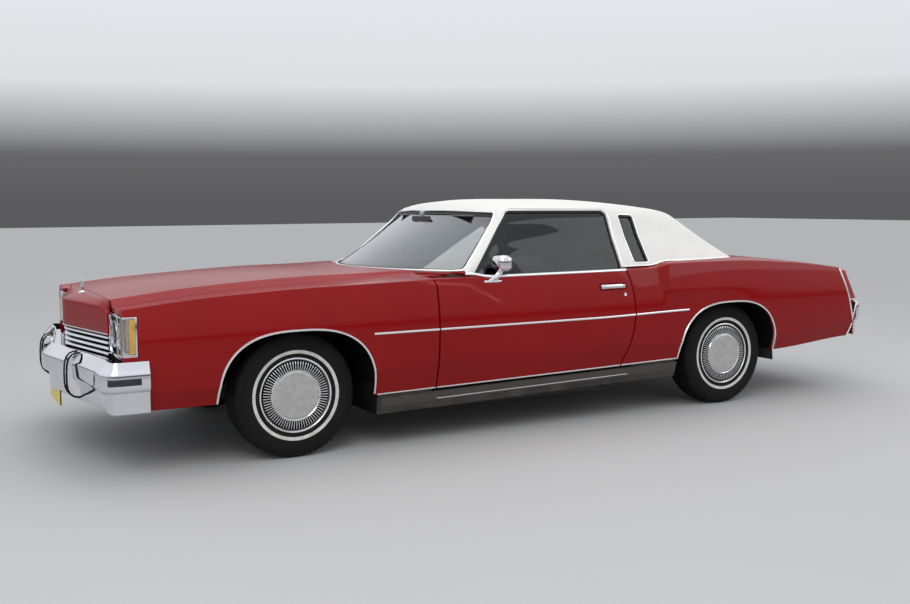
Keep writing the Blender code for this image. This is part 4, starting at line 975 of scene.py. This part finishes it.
FRONT_BUMPER_HALF = (
    (-2.497, 1.003, 0.014), (-2.600, 1.002, 0.014), (-2.676, 0.996, 0.018), (-2.706, 0.968, 0.040),
    (-2.726, 0.800, 0.050), (-2.747, 0.620, 0.050), (-2.780, 0.440, 0.050), (-2.816, 0.230, 0.050),
    (-2.852, 0.030, 0.050))
FRONT_SECTION = (
    (1.0, 0.0, 0.607), (0.85, 0.0, 0.6065), (0.45, 0.002, 0.584), (0.10, 0.004, 0.5635), (0.0, 0.0065, 0.557),
    (0.0, 0.0105, 0.551), (0.0, 0.012, 0.543), (0.0, 0.012, 0.490), (0.0, 0.011, 0.478), (0.0, 0.008, 0.468),
    (0.0, 0.004, 0.462), (0.3, 0.0, 0.455), (0.5, 0.0, 0.438), (0.5, 0.0, 0.368), (0.65, 0.0, 0.348),
    (1.0, 0.0, 0.348))
REAR_BUMPER_HALF = (
    (2.640, 0.958, 0.020), (2.676, 0.950, 0.030), (2.706, 0.912, 0.045), (2.748, 0.760, 0.050),
    (2.786, 0.560, 0.050), (2.822, 0.360, 0.050), (2.843, 0.180, 0.050), (2.853, 0.030, 0.050))
REAR_SECTION = (
    (1.0, 0.0, 0.650), (0.85, 0.0, 0.6495), (0.10, -0.001, 0.645), (0.0, 0.004, 0.638), (0.0, 0.009, 0.626),
    (0.0, 0.012, 0.600), (0.0, 0.012, 0.540), (0.0, 0.009, 0.525), (0.0, 0.003, 0.512), (0.4, 0.0, 0.500),
    (0.5, 0.0, 0.480), (0.5, 0.0, 0.410), (0.65, 0.0, 0.396), (1.0, 0.0, 0.396))
GUARD_SIDE = (
    (-2.737, 0.604), (-2.764, 0.603), (-2.784, 0.594), (-2.799, 0.576), (-2.808, 0.548), (-2.812, 0.500),
    (-2.812, 0.440), (-2.808, 0.412), (-2.797, 0.388), (-2.778, 0.372), (-2.752, 0.367), (-2.737, 0.369))


def make_bumpers():
    rear_path = [(x, -y, d) for x, y, d in fine_half(REAR_BUMPER_HALF)]
    for end, path, section in (
        ("front", fine_half(FRONT_BUMPER_HALF), FRONT_SECTION), ("rear", rear_path, REAR_SECTION),
    ):
        mesh = bumper_mesh("bar", path, section)
        baked(keep(end + "_bumper_bar", mesh, BRIGHT, "body", (end + "_bumper",)), edges_of(0.003, 2, 30))
    shelf = [(x + 0.030, y) for x, y, _ in fine_half(FRONT_BUMPER_HALF[4:], 3)]
    shelf = [(-2.6306, shelf[0][1]), *shelf, (-2.6306, shelf[-1][1])]
    loft("bumper_shelf", [[(x, y, z) for x, y in shelf] for z in (0.578, 0.588)], BRIGHT)
    for side, label in SIDES:
        y = sorted((side * 0.412, side * 0.488))
        guard = loft("bumper_guard_front_" + label, [[(x, k, z) for x, z in GUARD_SIDE] for k in y], BRIGHT)
        baked(guard, edges_of(0.007, 3, 50))
        for edge, k in zip(("inner", "outer"), sorted(y, key=abs)):
            line = [Vector((x, k, z)) for x, z in GUARD_SIDE]
            ways = []
            for n in range(len(line)):
                along = line[min(n + 1, len(line) - 1)] - line[max(n - 1, 0)]
                ways.append(Vector((-abs(along.z), 0, -along.x)).normalized())
            strip(f"guard_edge_{edge}_{label}", line, ways, oval(0.0045, 0.0045, 12), RUBBER, slot=NO_SLOT)
        for name, low, high, material, bevel in (
            ("guard_rear", (2.765, 0.380, 0.430), (2.846, 0.460, 0.660), BRIGHT, 0.014),
            ("bracket_front", (-2.76, 0.40, 0.36), (-2.6206, 0.48, 0.44), UNDER, 0.003),
            ("bracket_rear", (2.5204, 0.53, 0.345), (2.760, 0.59, 0.400), UNDER, 0.003),
        ):
            side_block(f"bumper_{name}_{label}", side, low, high, material, bevel=bevel)
        band = [Vector((x, side * 1.0148, 0.510)) for x in spread(-2.540, -2.640, 12)]
        band += [Vector((-2.680, side * 1.0095, 0.510)), Vector((-2.700, side * 0.998, 0.510))]
        ways = [Vector((lean, side, 0)).normalized() for lean in (*[0.0] * 12, -0.35, -0.8)]
        strip("bumper_band_" + label, band, ways, bead(0.034, 0.0022, 0.001), BAND)
    for name, low, high, material in (
        ("holder", (-2.800, -0.160, 0.272), (-2.794, 0.160, 0.400), UNDER),
        ("blank", (-2.804, -0.155, 0.276), (-2.800, 0.155, 0.396), PLATE_YELLOW),
        ("arm", (-2.800, -0.050, 0.352), (-2.780, 0.050, 0.372), UNDER),
    ):
        block("front_plate_" + name, low, high, material, bevel=0.001)


def make_header():
    rings = []
    for y in spread(-HEADER_HALF_WIDTH, HEADER_HALF_WIDTH, 81):
        front, top, rear = header_x(y), header_top_z(y), hood_z(HOOD_FRONT_X, y) - 0.001
        ring = []
        for t in spread(0.0, 1.0, 7):
            x = mix(-2.6038, front + 0.010, t)
            ring.append((x, y, mix(rear, top + 0.010, t) + 0.004 * sin(pi * t)))
        ring += [(front + 0.004, y, top + 0.0065), (front + 0.001, y, top + 0.001), (front, y, top - 0.006)]
        ring += [(front, y, z) for z in (0.800, 0.760, 0.714)]
        bottom = GRILLE_TOP_Z + 0.004
        ring += [(front + 0.004, y, bottom), (-2.560, y, bottom), (-2.560, y, 0.800), (-2.6038, y, 0.800)]
        rings.append(ring)
    baked(loft("header_face", rings, PAINT, "body", ("header_panel",)), edges_of(0.003, 3, 48))
    block("header_support", (-2.575, -0.620, 0.4204), (-2.530, 0.620, 0.799), UNDER)
    lip = [Vector((header_x(y) + 0.001, y, GRILLE_TOP_Z + 0.0065)) for y in spread(-0.615, 0.615, 61)]
    strip("header_lip", lip, [Vector((-1, 0, 0))] * 61, bead(0.008, 0.004, 0.002), BRIGHT)
    x, top = -2.638, 0.883
    turned("ornament_base", (
        (0.0, 0.012), (0.010, 0.011), (0.016, 0.006), (0.020, 0.0), (0.021, -0.004), (0.0, -0.004)),
        (x, 0.0, top), BRIGHT, steps=32, axis=(0, 0, 1))
    blade = (
        (-0.010, 0.004), (-0.006, 0.060), (-0.003, 0.078), (0.004, 0.080), (0.010, 0.050), (0.013, 0.004))
    rings = [[Vector((x + out, y * (1.0 - z * 5), top + z)) for out, z in blade] for y in (-0.004, 0.004)]
    baked(loft("ornament_blade", rings, BRIGHT), edges_of(0.0015, 2, 30))


def make_grille():
    # The black back behind the grille bars is painted shade in the grille opening.
    block("grille_back", (-2.582, -0.603, GRILLE_BOTTOM_Z), (-2.5754, 0.603, GRILLE_TOP_Z), SHADE_BLACK,
          stands_for=("grille",))
    for k, z in enumerate(spread(GRILLE_BOTTOM_Z + 0.004, GRILLE_TOP_Z - 0.018, 4)):
        rings = []
        for y in spread(-0.603, 0.603, 61):
            x = header_x(y) + 0.004
            rings.append([
                (x + 0.003, y, z - 0.001), (x, y, z + 0.002), (x + 0.0015, y, z + 0.006),
                (x + 0.007, y, z + 0.0125), (x + 0.014, y, z + 0.0145), (x + 0.045, y, z + 0.0125),
                (x + 0.045, y, z + 0.002)])
        loft(f"grille_bar_{k + 1}", rings, BRIGHT)
    # The black ribs behind the bars are painted shade as well.
    for number, y in enumerate(spread(-0.50, 0.50, 6)):
        low, high = (header_x(y) + 0.030, y - 0.002, GRILLE_BOTTOM_Z), (-2.580, y + 0.002, GRILLE_TOP_Z)
        block(f"grille_rib_{number + 1}", low, high, SHADE_BLACK, bevel=0.0005)


def make_lamp(side, label):
    """Two round lamps in a bright bezel, and the lamp that wraps round the corner."""
    # The black housing behind the headlamps is painted shade in the lamp recess.
    side_block("lamp_housing_" + label, side, (-2.5755, 0.612, 0.610), (-2.5566, 0.930, 0.826), SHADE_BLACK,
               stands_for=("headlamp_" + label,))
    for name, low, high in (
        ("top", (-2.612, 0.612, 0.812), (-2.566, 0.918, 0.826)),
        ("base", (-2.616, 0.612, 0.608), (-2.566, 0.918, 0.624)),
        ("inner", (-2.612, 0.608, 0.608), (-2.566, 0.622, 0.826)),
        ("middle", (-2.604, 0.7605, 0.620), (-2.566, 0.7695, 0.816)),
        ("outer", (-2.614, 0.906, 0.608), (-2.566, 0.920, 0.826)),
    ):
        side_block(f"lamp_bezel_{name}_{label}", side, low, high, BRIGHT)
    for number, y in enumerate((0.690, 0.838), 1):
        for piece, profile, material, steps, closed, sharp in (
            ("ring", ((0.0705, 0.020), (0.0705, 0.002), (0.0690, -0.003), (0.0655, -0.001), (0.0650, 0.006),
                      (0.0650, 0.020)), BRIGHT, 64, True, 35),
            ("reflector", ((0.0, 0.021), (0.020, 0.019), (0.045, 0.012), (0.064, 0.004)),
             SATIN, 48, False, 60),
            ("lens", ((0.0, -0.009), (0.025, -0.008), (0.050, -0.004), (0.064, 0.002), (0.064, 0.004),
                      (0.0, -0.005)), LAMP_GLASS, 48, False, 60),
        ):
            centre = (-2.600, side * y, 0.718)
            turned(f"lamp_{piece}_{number}_{label}", profile, centre, material, steps=steps, closed=closed,
                   axis=(1, 0, 0), sharp=sharp)
    rings = []
    for z in (0.634, 0.640, 0.818, 0.824):
        inset = 0.0 if 0.635 < z < 0.82 else 0.004
        rings.append([(x, side * y, z) for x, y in (
            (-2.620 + inset, 0.922), (-2.624 + inset, 0.940), (-2.618 + inset, 0.966 - inset),
            (-2.590, 0.984 - inset), (-2.586, 0.984 - inset), (-2.586, 0.922))])
    loft("corner_lamp_front_" + label, rings, LAMP_GLASS, slot="chrome")
    rings = []
    for z in (0.641, 0.645, 0.813, 0.817):
        inset = 0.0 if 0.643 < z < 0.815 else 0.003
        rings.append([(x, side * y, z) for x, y in (
            (-2.587, 0.930), (-2.587, 0.982 - inset), (-2.570, 0.985 - inset), (-2.5575, 0.985 - inset),
            (-2.5575, 0.930))])
    loft("corner_lamp_side_" + label, rings, AMBER)
    for name, low, high in (
        ("top", (-2.618, 0.925, 0.8185), (-2.548, 0.985, 0.8275)),
        ("base", (-2.618, 0.925, 0.6275), (-2.548, 0.985, 0.6400)),
        ("rear", (-2.5570, 0.930, 0.632), (-2.5480, 0.986, 0.824)),
    ):
        side_block(f"corner_bezel_{name}_{label}", side, low, high, BRIGHT, bevel=0.002)


# Small pieces on the side


def make_mirror():
    shell = block_mesh("mirror", (-0.456, -1.004, 0.975), (-0.362, -0.868, 1.073), 0.038, 9)
    head = keep("mirror_shell", shell, BRIGHT, "door_left", ("mirror_left",))
    cut(head, cutter_block((-0.370, -0.985, 0.993), (-0.340, -0.887, 1.055), 0.012), sharp=40)
    block("mirror_glass", (-0.3712, -0.9848, 0.9932), (-0.3672, -0.8872, 1.0548), MIRROR, "door_left",
          bevel=0.0018)
    rings = []
    for x, y, z, wide, deep in (
        (-0.482, -0.957, 0.918, 0.046, 0.011), (-0.470, -0.957, 0.934, 0.036, 0.011),
        (-0.436, -0.950, 0.962, 0.023, 0.013), (-0.412, -0.940, 0.990, 0.018, 0.017),
    ):
        rings.append([(x + a, y + b, z) for a, b in oval(wide, deep, 24)])
    smooth_lines = [through(line, 5) for line in zip(*rings)]
    loft("mirror_stem", [list(ring) for ring in zip(*smooth_lines)], BRIGHT, "door_left")
    foot = block_mesh("foot", (-0.548, -0.971, 0.9100), (-0.424, -0.936, 0.9260), 0.0075, 4)
    keep("mirror_foot", foot, BRIGHT, "door_left").data.shade_smooth()


def make_handles():
    """A pull in a recess and a lock on each door."""
    first_x, last_x, z = 0.286, 0.470, 0.853
    for side, label in SIDES:
        body = "door_" + label
        y = sorted((side * (side_y(0.38, 0.85) - 0.013), side * CUT_Y))
        room = cutter_block((0.272, y[0], 0.832), (0.484, y[1], 0.876))
        baked(room, edges_of(0.012, 5, 60))
        cut(bpy.data.objects[f"door_{label}_panel"], room, sharp=30)
        line = []
        for x in spread(first_x, last_x, 24):
            end = min(x - first_x, last_x - x)
            line.append(on_side(x, z, side, 0.004 + 0.010 * ease(end / 0.030)))
        points, ways = zip(*line)
        strip("handle_bar_" + label, points, ways, oval(0.0125, 0.0048, 16), BRIGHT, body)
        for number, x in enumerate((0.300, 0.456), 1):
            ends = [on_side(x, z, side, out)[0] for out in (-0.018, 0.010)]
            rings = [[p + Vector((a, 0, b)) for a, b in oval(0.008, 0.009, 12)] for p in ends]
            loft(f"handle_post_{number}_{label}", rings, BRIGHT, body)
        place, way = on_side(0.471, 0.800, side)
        turned("door_lock_" + label, (
            (0.0, 0.0035), (0.0025, 0.0035), (0.0030, 0.0020), (0.0070, 0.0022), (0.0085, 0.0036),
            (0.0105, 0.0026), (0.0115, -0.0020)), place, BRIGHT, body, steps=32, axis=way)


def make_liners():
    """The inside of each wheel opening, near-black as painted shade, and the flaps behind the rear wheels."""
    for side, label in SIDES:
        for end, arch, inner_y in (("front", FRONT_ARCH, 0.500), ("rear", REAR_ARCH, 0.642)):
            low, high, top, bottom = arch
            lines = [
                arch_outline(low - grow, high + grow, top + grow, bottom, count=40)
                for grow in (0.010, 0.013)]
            rings = []
            for (x, z), (wide_x, wide_z) in zip(*lines):
                z, wide_z = max(z, BOTTOM_Z), max(wide_z, BOTTOM_Z)
                outer_y = side_y(x, z) - 0.024
                rings.append([
                    (x, side * inner_y, z), (x, side * outer_y, z), (wide_x, side * outer_y, wide_z),
                    (wide_x, side * inner_y, wide_z)])
            loft(f"wheelhouse_{end}_{label}", rings, WELL_SHADE)
            wall = [(x, z) for x, z in lines[1] if z > 0.45]
            rings = [[(x, side * y, z) for x, z in wall] for y in (inner_y, inner_y + 0.003)]
            loft(f"wheelhouse_wall_{end}_{label}", rings, WELL_SHADE)
        flap = [
            [Vector((1.846 + 0.008 * t, side * y, 0.352 - 0.085 * t)) for y in spread(0.760, 0.915, 12)]
            for t in spread(0, 1, 8)]
        back = [[p + Vector((0.004, 0, 0)) for p in row] for row in flap]
        keep("mud_flap_" + label, plate_mesh("flap", flap, back), FLAP)


# Wheels


TYRE_HALF = (
    (0.1894, 0.083), (0.205, 0.092), (0.225, 0.1000), (0.250, 0.1045), (0.280, 0.1060), (0.305, 0.1040),
    (0.325, 0.0980), (0.336, 0.0900), (0.3425, 0.0800), (0.344, 0.066), (0.3365, 0.064), (0.3365, 0.058),
    (0.3445, 0.056), (0.3448, 0.030), (0.3365, 0.028), (0.3365, 0.022), (0.3450, 0.020))
TYRE_SECTION = [(r, -y) for r, y in TYRE_HALF] + list(reversed(TYRE_HALF))


def tyre_mesh(name, centre, steps=240):
    """A tyre with four grooves, and slots across its ribs."""
    bm = bmesh.new()
    rings = []
    for k in range(steps):
        a = 2 * pi * k / steps
        ring = []
        for r, y in TYRE_SECTION:
            if r > 0.340 and abs(y) > 0.018:
                phase = (k + (2 if y > 0 else 0) + (1 if abs(y) > 0.05 else 0)) % 4
                if phase == 0:
                    r -= 0.006
            ring.append(bm.verts.new(Vector(centre) + Vector((r * cos(a), y, r * sin(a)))))
        rings.append(ring)
    bridge(bm, rings + [rings[0]], caps=False)
    return mesh_from(name, bm)


def fins_mesh(name, centre, side, count, low, high):
    """Fine radial blades between two radii of the wheel cover."""
    bm = bmesh.new()
    for n in range(count):
        turn = Matrix.Rotation(2 * pi * n / count, 4, "Y")
        rings = []
        for r, rise in (
            (low, 0.0985), (mix(low, high, 0.15), 0.1000), (mix(low, high, 0.8), 0.0985), (high, 0.0950),
        ):
            half = r * pi / count * 0.44
            ring = [(-half * 0.75, 0.080), (-half * 0.62, rise), (half * 0.62, rise), (half * 0.75, 0.080)]
            rings.append([
                bm.verts.new(Vector(centre) + turn @ Vector((x, side * y, r))) for x, y in ring])
        bridge(bm, rings)
    return mesh_from(name, bm)


def make_wheels():
    for end, axle_x in (("front", FRONT_AXLE_X), ("rear", REAR_AXLE_X)):
        for side, label in SIDES:
            centre = Vector((axle_x, side * TYRE_Y, HUB_Z))
            spot, body = f"{end}_{label}", f"wheel_{end}_{label}"

            def on_wheel(name, profile, material, **more):
                outline = [(r, side * y) for r, y in profile]
                turned(f"{name}_{spot}", outline, centre, material, body, **more)

            keep("tyre_cover_" + spot, tyre_mesh("tyre", centre), RUBBER, body, ("tyre_" + spot,))
            on_wheel("whitewall", (
                (0.2290, 0.1002), (0.2300, 0.1019), (0.2465, 0.1052), (0.2480, 0.1040)), WHITEWALL)
            on_wheel("sidewall_rib", (
                (0.296, 0.1040), (0.298, 0.1062), (0.301, 0.1060), (0.303, 0.1035)), RUBBER)
            on_wheel("sidewall_ring", (
                (0.207, 0.0930), (0.2085, 0.0958), (0.212, 0.0962), (0.214, 0.0950)), RUBBER)
            on_wheel("rim", (
                (0.206, 0.0925), (0.1890, 0.085), (0.1890, -0.085), (0.200, -0.090), (0.205, -0.092),
                (0.206, -0.088),
                (0.1925, -0.082), (0.180, -0.060), (0.178, 0.020), (0.172, 0.040),
                (0.150, 0.046), (0.142, 0.030), (0.142, -0.070), (0.110, -0.074), (0.0, -0.074)),
                UNDER, stands_for=("wheel_" + spot,), slot="chrome")
            on_wheel("cover_ring", (
                (0.1960, 0.0885), (0.1966, 0.0975), (0.1990, 0.0998), (0.2025, 0.1003), (0.2056, 0.0988),
                (0.2066, 0.0940)), TRIM)
            # The recess under the fins is near-black painted shade.
            on_wheel("cover_well", (
                (0.1965, 0.0900), (0.1940, 0.0800), (0.186, 0.0780), (0.150, 0.0780), (0.136, 0.0885)), WELL_SHADE)
            keep(f"cover_fins_{spot}", fins_mesh("fins", centre, side, 74, 0.1420, 0.1855), TRIM, body)
            on_wheel("cover_edge", (
                (0.1425, 0.0900), (0.1425, 0.1005), (0.1400, 0.1030), (0.1365, 0.1035),
                (0.1340, 0.1015), (0.1325, 0.1000)), BRIGHT)
            on_wheel("cover_centre", (
                (0.1335, 0.1005), (0.1300, 0.1015), (0.1240, 0.1035), (0.1190, 0.1040), (0.1150, 0.1032),
                (0.0900, 0.1042), (0.0600, 0.1052), (0.0300, 0.1058), (0.0, 0.1060)),
                SATIN, slot="chrome", sharp=60)


# Tail


def make_tail():
    rings = []
    for y in spread(-0.788, 0.788, 61):
        back = tail_bow(y) - tail_bow(0.790)
        rings.append([
            (x + back, y, z) for x, z in (
                (2.529, 0.8755), (2.560, 0.780), (2.600, 0.650), (2.640, 0.520), (2.625, 0.460),
                (2.600, 0.400), (2.560, 0.400), (2.598, 0.520), (2.489, 0.8755))])
    baked(loft("tail_panel", rings, PAINT, "body", ("rear_panel",)), edges_of(0.003, 3, 45))
    for side, label in SIDES:
        path = [(tail_x(z) - 0.004, z) for z in spread(0.888, 0.375, 60)]
        side_strip("tail_strip_" + label, path, side, bead(0.014, 0.006), TRIM, "body")
        lens = ((2.578, 0.878), (2.640, 0.770), (2.703, 0.660), (2.604, 0.657), (2.525, 0.878))
        rings = [[(x, y, z) for x, z in lens] for y in spread(*sorted((side * 0.7912, side * 0.913)), 8)]
        lamp = loft("tail_lens_" + label, rings, LENS_RED, "body", ("tail_lamp_" + label,))
        baked(lamp, edges_of(0.008, 3, 40))
        for number, t in enumerate((0.0, 0.5, 1.0), 1):
            x, z = mix(2.583, 2.704, mix(0.06, 0.95, t)), mix(0.868, 0.668, t)
            bar = [Vector((x, side * y, z)) for y in spread(0.797, 0.908, 6)]
            ways = [Vector((0.88, 0, 0.47))] * 6
            strip(f"tail_lens_bar_{number}_{label}", bar, ways, bead(0.006, 0.0035, 0.004), BRIGHT)


# Cabin


def cushion(name, middle, half, lean, channels, node, cuts=26):
    """A crowned, stuffed form with sewn channels.

    Half is its half-length, half-width and half-height, and lean turns it about the car's width.
    """
    def dip(distance, width):
        return 2.718 ** (-(distance / width) ** 2)

    bm = bmesh.new()
    bmesh.ops.create_cube(bm, size=2.0)
    bmesh.ops.subdivide_edges(bm, edges=list(bm.edges), cuts=cuts, use_grid_fill=True)
    turn = Matrix.Rotation(lean, 3, "Y")
    for vert in bm.verts:
        a, b, c = vert.co
        stretch = (abs(a) ** 5 + abs(b) ** 7 + abs(c) ** 4) ** (1 / 5)
        a, b, c = a / stretch, b / stretch, c / stretch
        pull = 0.020
        across, along = 1 - pull * (1 - a * a), 1 - pull * (1 - b * b)
        rise = 0.30 * (1 - a ** 2) * (1 - b ** 2) if c > 0 else 0.0
        groove = sum(dip((b - line) * half[1], 0.008) for line in channels) if c > 0.3 else 0.0
        seam = dip((abs(b) - 0.955) * half[1], 0.007) if c > 0.3 else 0.0
        height = c * half[2] * (0.80 + rise) - 0.007 * groove * (1 - a ** 8) - 0.004 * seam
        vert.co = Vector(middle) + turn @ Vector((a * half[0] * along, b * half[1] * across, height))
    obj = keep(name, mesh_from(name, bm), SEAT_CLOTH, "body", (node,) if node else (), sharp=80)
    return obj


def make_seats():
    lines = [k / 4 for k in (-3, -2, -1, 0, 1, 2, 3)]
    for side, label in SIDES:
        y = side * 0.352
        for name, x, z, length, lean, node in (
            ("cushion", -0.085, 0.425, 0.232, -5, "front_seat"), ("backrest", 0.222, 0.735, 0.290, -77, None),
        ):
            half = (length, 0.332, 0.085)
            cushion(f"front_{name}_{label}", (x, y, z), half, radians(lean), lines, node)
    for name, low, high in (
        ("front_seat_base", (-0.255, -0.660, 0.262), (0.235, 0.660, 0.365)),
        ("front_seat_back", (0.262, -0.650, 0.420), (0.318, 0.650, 0.860)),
    ):
        block(name, low, high, TRIM_BLACK, bevel=0.018)
    lines = [k / 8 for k in (-7, -5, -3, -1, 1, 3, 5, 7)]
    cushion("rear_cushion", (0.690, 0, 0.492), (0.215, 0.602, 0.075), radians(-12), lines, "rear_seat")
    cushion("rear_backrest", (0.955, 0, 0.735), (0.185, 0.602, 0.070), radians(-76), lines, None)
    block("rear_seat_base", (0.500, -0.590, 0.262), (0.705, 0.590, 0.440), TRIM_BLACK, bevel=0.015)
    block("parcel_shelf", (1.062, -0.775, 0.9062), (1.478, 0.775, 0.916), CARPET, bevel=0.002)


def make_cabin():
    make_seats()
    profile = (
        (-0.972, 0.632), (-0.716, 0.652), (-0.690, 0.662), (-0.668, 0.700), (-0.653, 0.780), (-0.656, 0.820),
        (-0.672, 0.858), (-0.695, 0.880), (-0.740, 0.892), (-0.850, 0.903), (-0.972, 0.907))
    rings = [[(x, y, z) for x, z in profile] for y in spread(-0.778, 0.778, 9)]
    baked(loft("dash_pad", rings, TRIM_BLACK), edges_of(0.010, 3, 50))
    block("dash_band", (-0.664, -0.760, 0.742), (-0.6515, 0.760, 0.812), WOOD, bevel=0.003)
    block("dash_trim", (-0.660, -0.765, 0.814), (-0.6500, 0.765, 0.819), BRIGHT, bevel=0.001, slot=NO_SLOT)
    block("instrument_hood", (-0.760, -0.560, 0.855), (-0.640, -0.180, 0.915), TRIM_BLACK, bevel=0.018)
    for number, y in enumerate((-0.480, -0.370, -0.260), 1):
        dial = ((0.0, 0.001), (0.024, 0.001), (0.026, 0.004), (0.029, 0.004), (0.031, -0.002))
        turned(f"dial_{number}", dial, (-0.6495, y, 0.778), BRIGHT, steps=32, axis=(1, 0, 0), slot=NO_SLOT,
               sharp=50)
    block("carpet_front", (-0.880, -0.765, 0.2555), (0.725, 0.765, 0.2615), CARPET, bevel=0.002)
    block("cabin_mirror_shell", (-0.470, -0.125, 1.238), (-0.452, 0.125, 1.296), TRIM_BLACK, bevel=0.008,
          slot=NO_SLOT)
    block("cabin_mirror_stem", (-0.470, -0.010, 1.280), (-0.440, 0.010, 1.330), SATIN, bevel=0.004)
    for side, label in SIDES:
        for name, low, high, material, body, bevel in (
            ("armrest", (-0.380, 0.872, 0.610), (0.260, 0.930, 0.662), TRIM_BLACK, "door_" + label, 0.015),
            ("inner_handle", (-0.200, 0.905, 0.740), (-0.080, 0.930, 0.756), BRIGHT, "door_" + label, 0.004),
            ("sun_visor", (-0.395, 0.500, 1.294), (-0.290, 0.190, 1.303), LINER, "body", 0.004),
        ):
            piece = side_block(f"{name}_{label}", side, low, high, material, body, bevel=bevel)
            if name == "sun_visor":
                piece.data.shade_smooth()


def make_cowl():
    """The painted panel between the hood and the windshield, and its air slots as black blocks of painted
    shade.
    """
    def crown(y):
        return 0.012 * (1 - (y / SEAM_Y) ** 2)

    edge = 0.793
    sheet = sheet_mesh(
        "cowl", spread(0, 1, 14), spread(-edge, edge, 81), lambda y: hood_rear_x(y) + 0.0085,
        lambda y: mix(-0.948, -0.632, abs(y / SEAM_Y) ** 2.2), lambda x, y: 0.9468 + crown(y), 0.0012)
    keep("cowl_panel", sheet, PAINT, sharp=40)
    for side, label in SIDES:
        for number in range(12):
            y = 0.120 + 0.040 * number
            x, z = hood_rear_x(y) + 0.026, 0.9475 + crown(y)
            low, high = (x, y, z - 0.002), (x + 0.022, y + 0.028, z + 0.0012)
            # Each air slot is a thin black block: painted shade where the slot opens.
            side_block(f"cowl_slot_{label}_{number + 1}", side, low, high, SHADE_BLACK, bevel=0.0005)


# Keep what the camera doesn't reach as it was packed, with real finishes


def dress_nodes():
    for names, material in (
        (("chassis_frame", "firewall_cowl", "floor_pan", "fuel_tank"), UNDER),
        (("rear_axle", "knuckle_left", "knuckle_right", "exhaust"), STEEL),
        (("engine_block",), ENGINE),
        (("steering_wheel",), TRIM_BLACK),
    ):
        for name in names:
            obj = NODES[name]
            obj.data.materials.clear()
            obj.data.materials.append(material)


# Studio


def make_studio():
    mesh = bpy.data.meshes.new("studio_floor")
    bm = bmesh.new()
    bmesh.ops.create_grid(bm, x_segments=1, y_segments=1, size=60.0)
    bm.to_mesh(mesh)
    bm.free()
    floor = add_object("studio_floor", mesh)
    mesh.materials.append(FLOOR)
    floor.location.z = -0.001
    world = bpy.data.worlds.new("studio")
    bpy.context.scene.world = world
    world.use_nodes = True
    tree = world.node_tree
    place = add_node(tree, "TexCoord")["Generated"]
    height = add_node(tree, "SeparateXYZ", {"Vector": place})["Z"]
    ramp = tree.nodes.new("ShaderNodeValToRGB")
    feed(tree, ramp, {"Fac": height})
    feed(tree, tree.nodes["Background"], {"Color": ramp.outputs["Color"], "Strength": 0.80})
    stops = ramp.color_ramp.elements
    stops[0].position, stops[0].color = 0.0, (0.13, 0.13, 0.135, 1)
    stops[1].position, stops[1].color = 1.0, (1.25, 1.28, 1.34, 1)
    for position, colour in (
        (0.045, (0.17, 0.17, 0.175, 1)), (0.11, (0.90, 0.92, 0.95, 1)), (0.35, (1.10, 1.13, 1.20, 1)),
    ):
        stops.new(position).color = colour
    for name, place, aim, size, power in (
        ("key", (-4.5, -5.5, 5.5), (0, 0, 0.5), 4.0, 160.0),
        ("fill", (5.5, -4.0, 4.0), (0.5, 0, 0.5), 4.0, 60.0),
        ("top", (0.0, 0.5, 6.5), (0, 0, 0), 5.0, 90.0),
    ):
        lamp = bpy.data.lights.new(name, "AREA")
        lamp.shape = "SQUARE"
        lamp.size = size
        lamp.energy = power
        obj = add_object(name, lamp)
        obj.location = place
        obj.rotation_euler = (Vector(aim) - Vector(place)).to_track_quat("-Z", "Y").to_euler()


def make_camera():
    yaw, pitch, roll = 0.5088, -0.0953, -0.0043
    focal_pixels, picture_width = 1040.5, 910.0
    camera = bpy.data.cameras.new("camera")
    obj = add_object("camera", camera)
    obj.location = (-3.6592, -6.1917, 1.3823)
    aim = Vector((sin(yaw) * cos(pitch), cos(yaw) * cos(pitch), sin(pitch)))
    obj.rotation_euler = aim.to_track_quat("-Z", "Y").to_euler()
    obj.rotation_euler.rotate_axis("Z", roll)
    camera.sensor_width = 36.0
    camera.lens = focal_pixels * camera.sensor_width / picture_width
    camera.clip_end = 200.0
    bpy.context.scene.camera = obj
    bpy.context.scene.view_settings.view_transform = "Standard"


make_camera()
make_sides()
make_sill_covers()
make_side_trim()
make_lids()
make_roof()
make_glass()
make_house_trim()
make_bumpers()
make_header()
make_grille()
for side, label in SIDES:
    make_lamp(side, label)
make_mirror()
make_handles()
make_liners()
make_wheels()
make_tail()
make_cabin()
make_cowl()
dress_nodes()
make_studio()
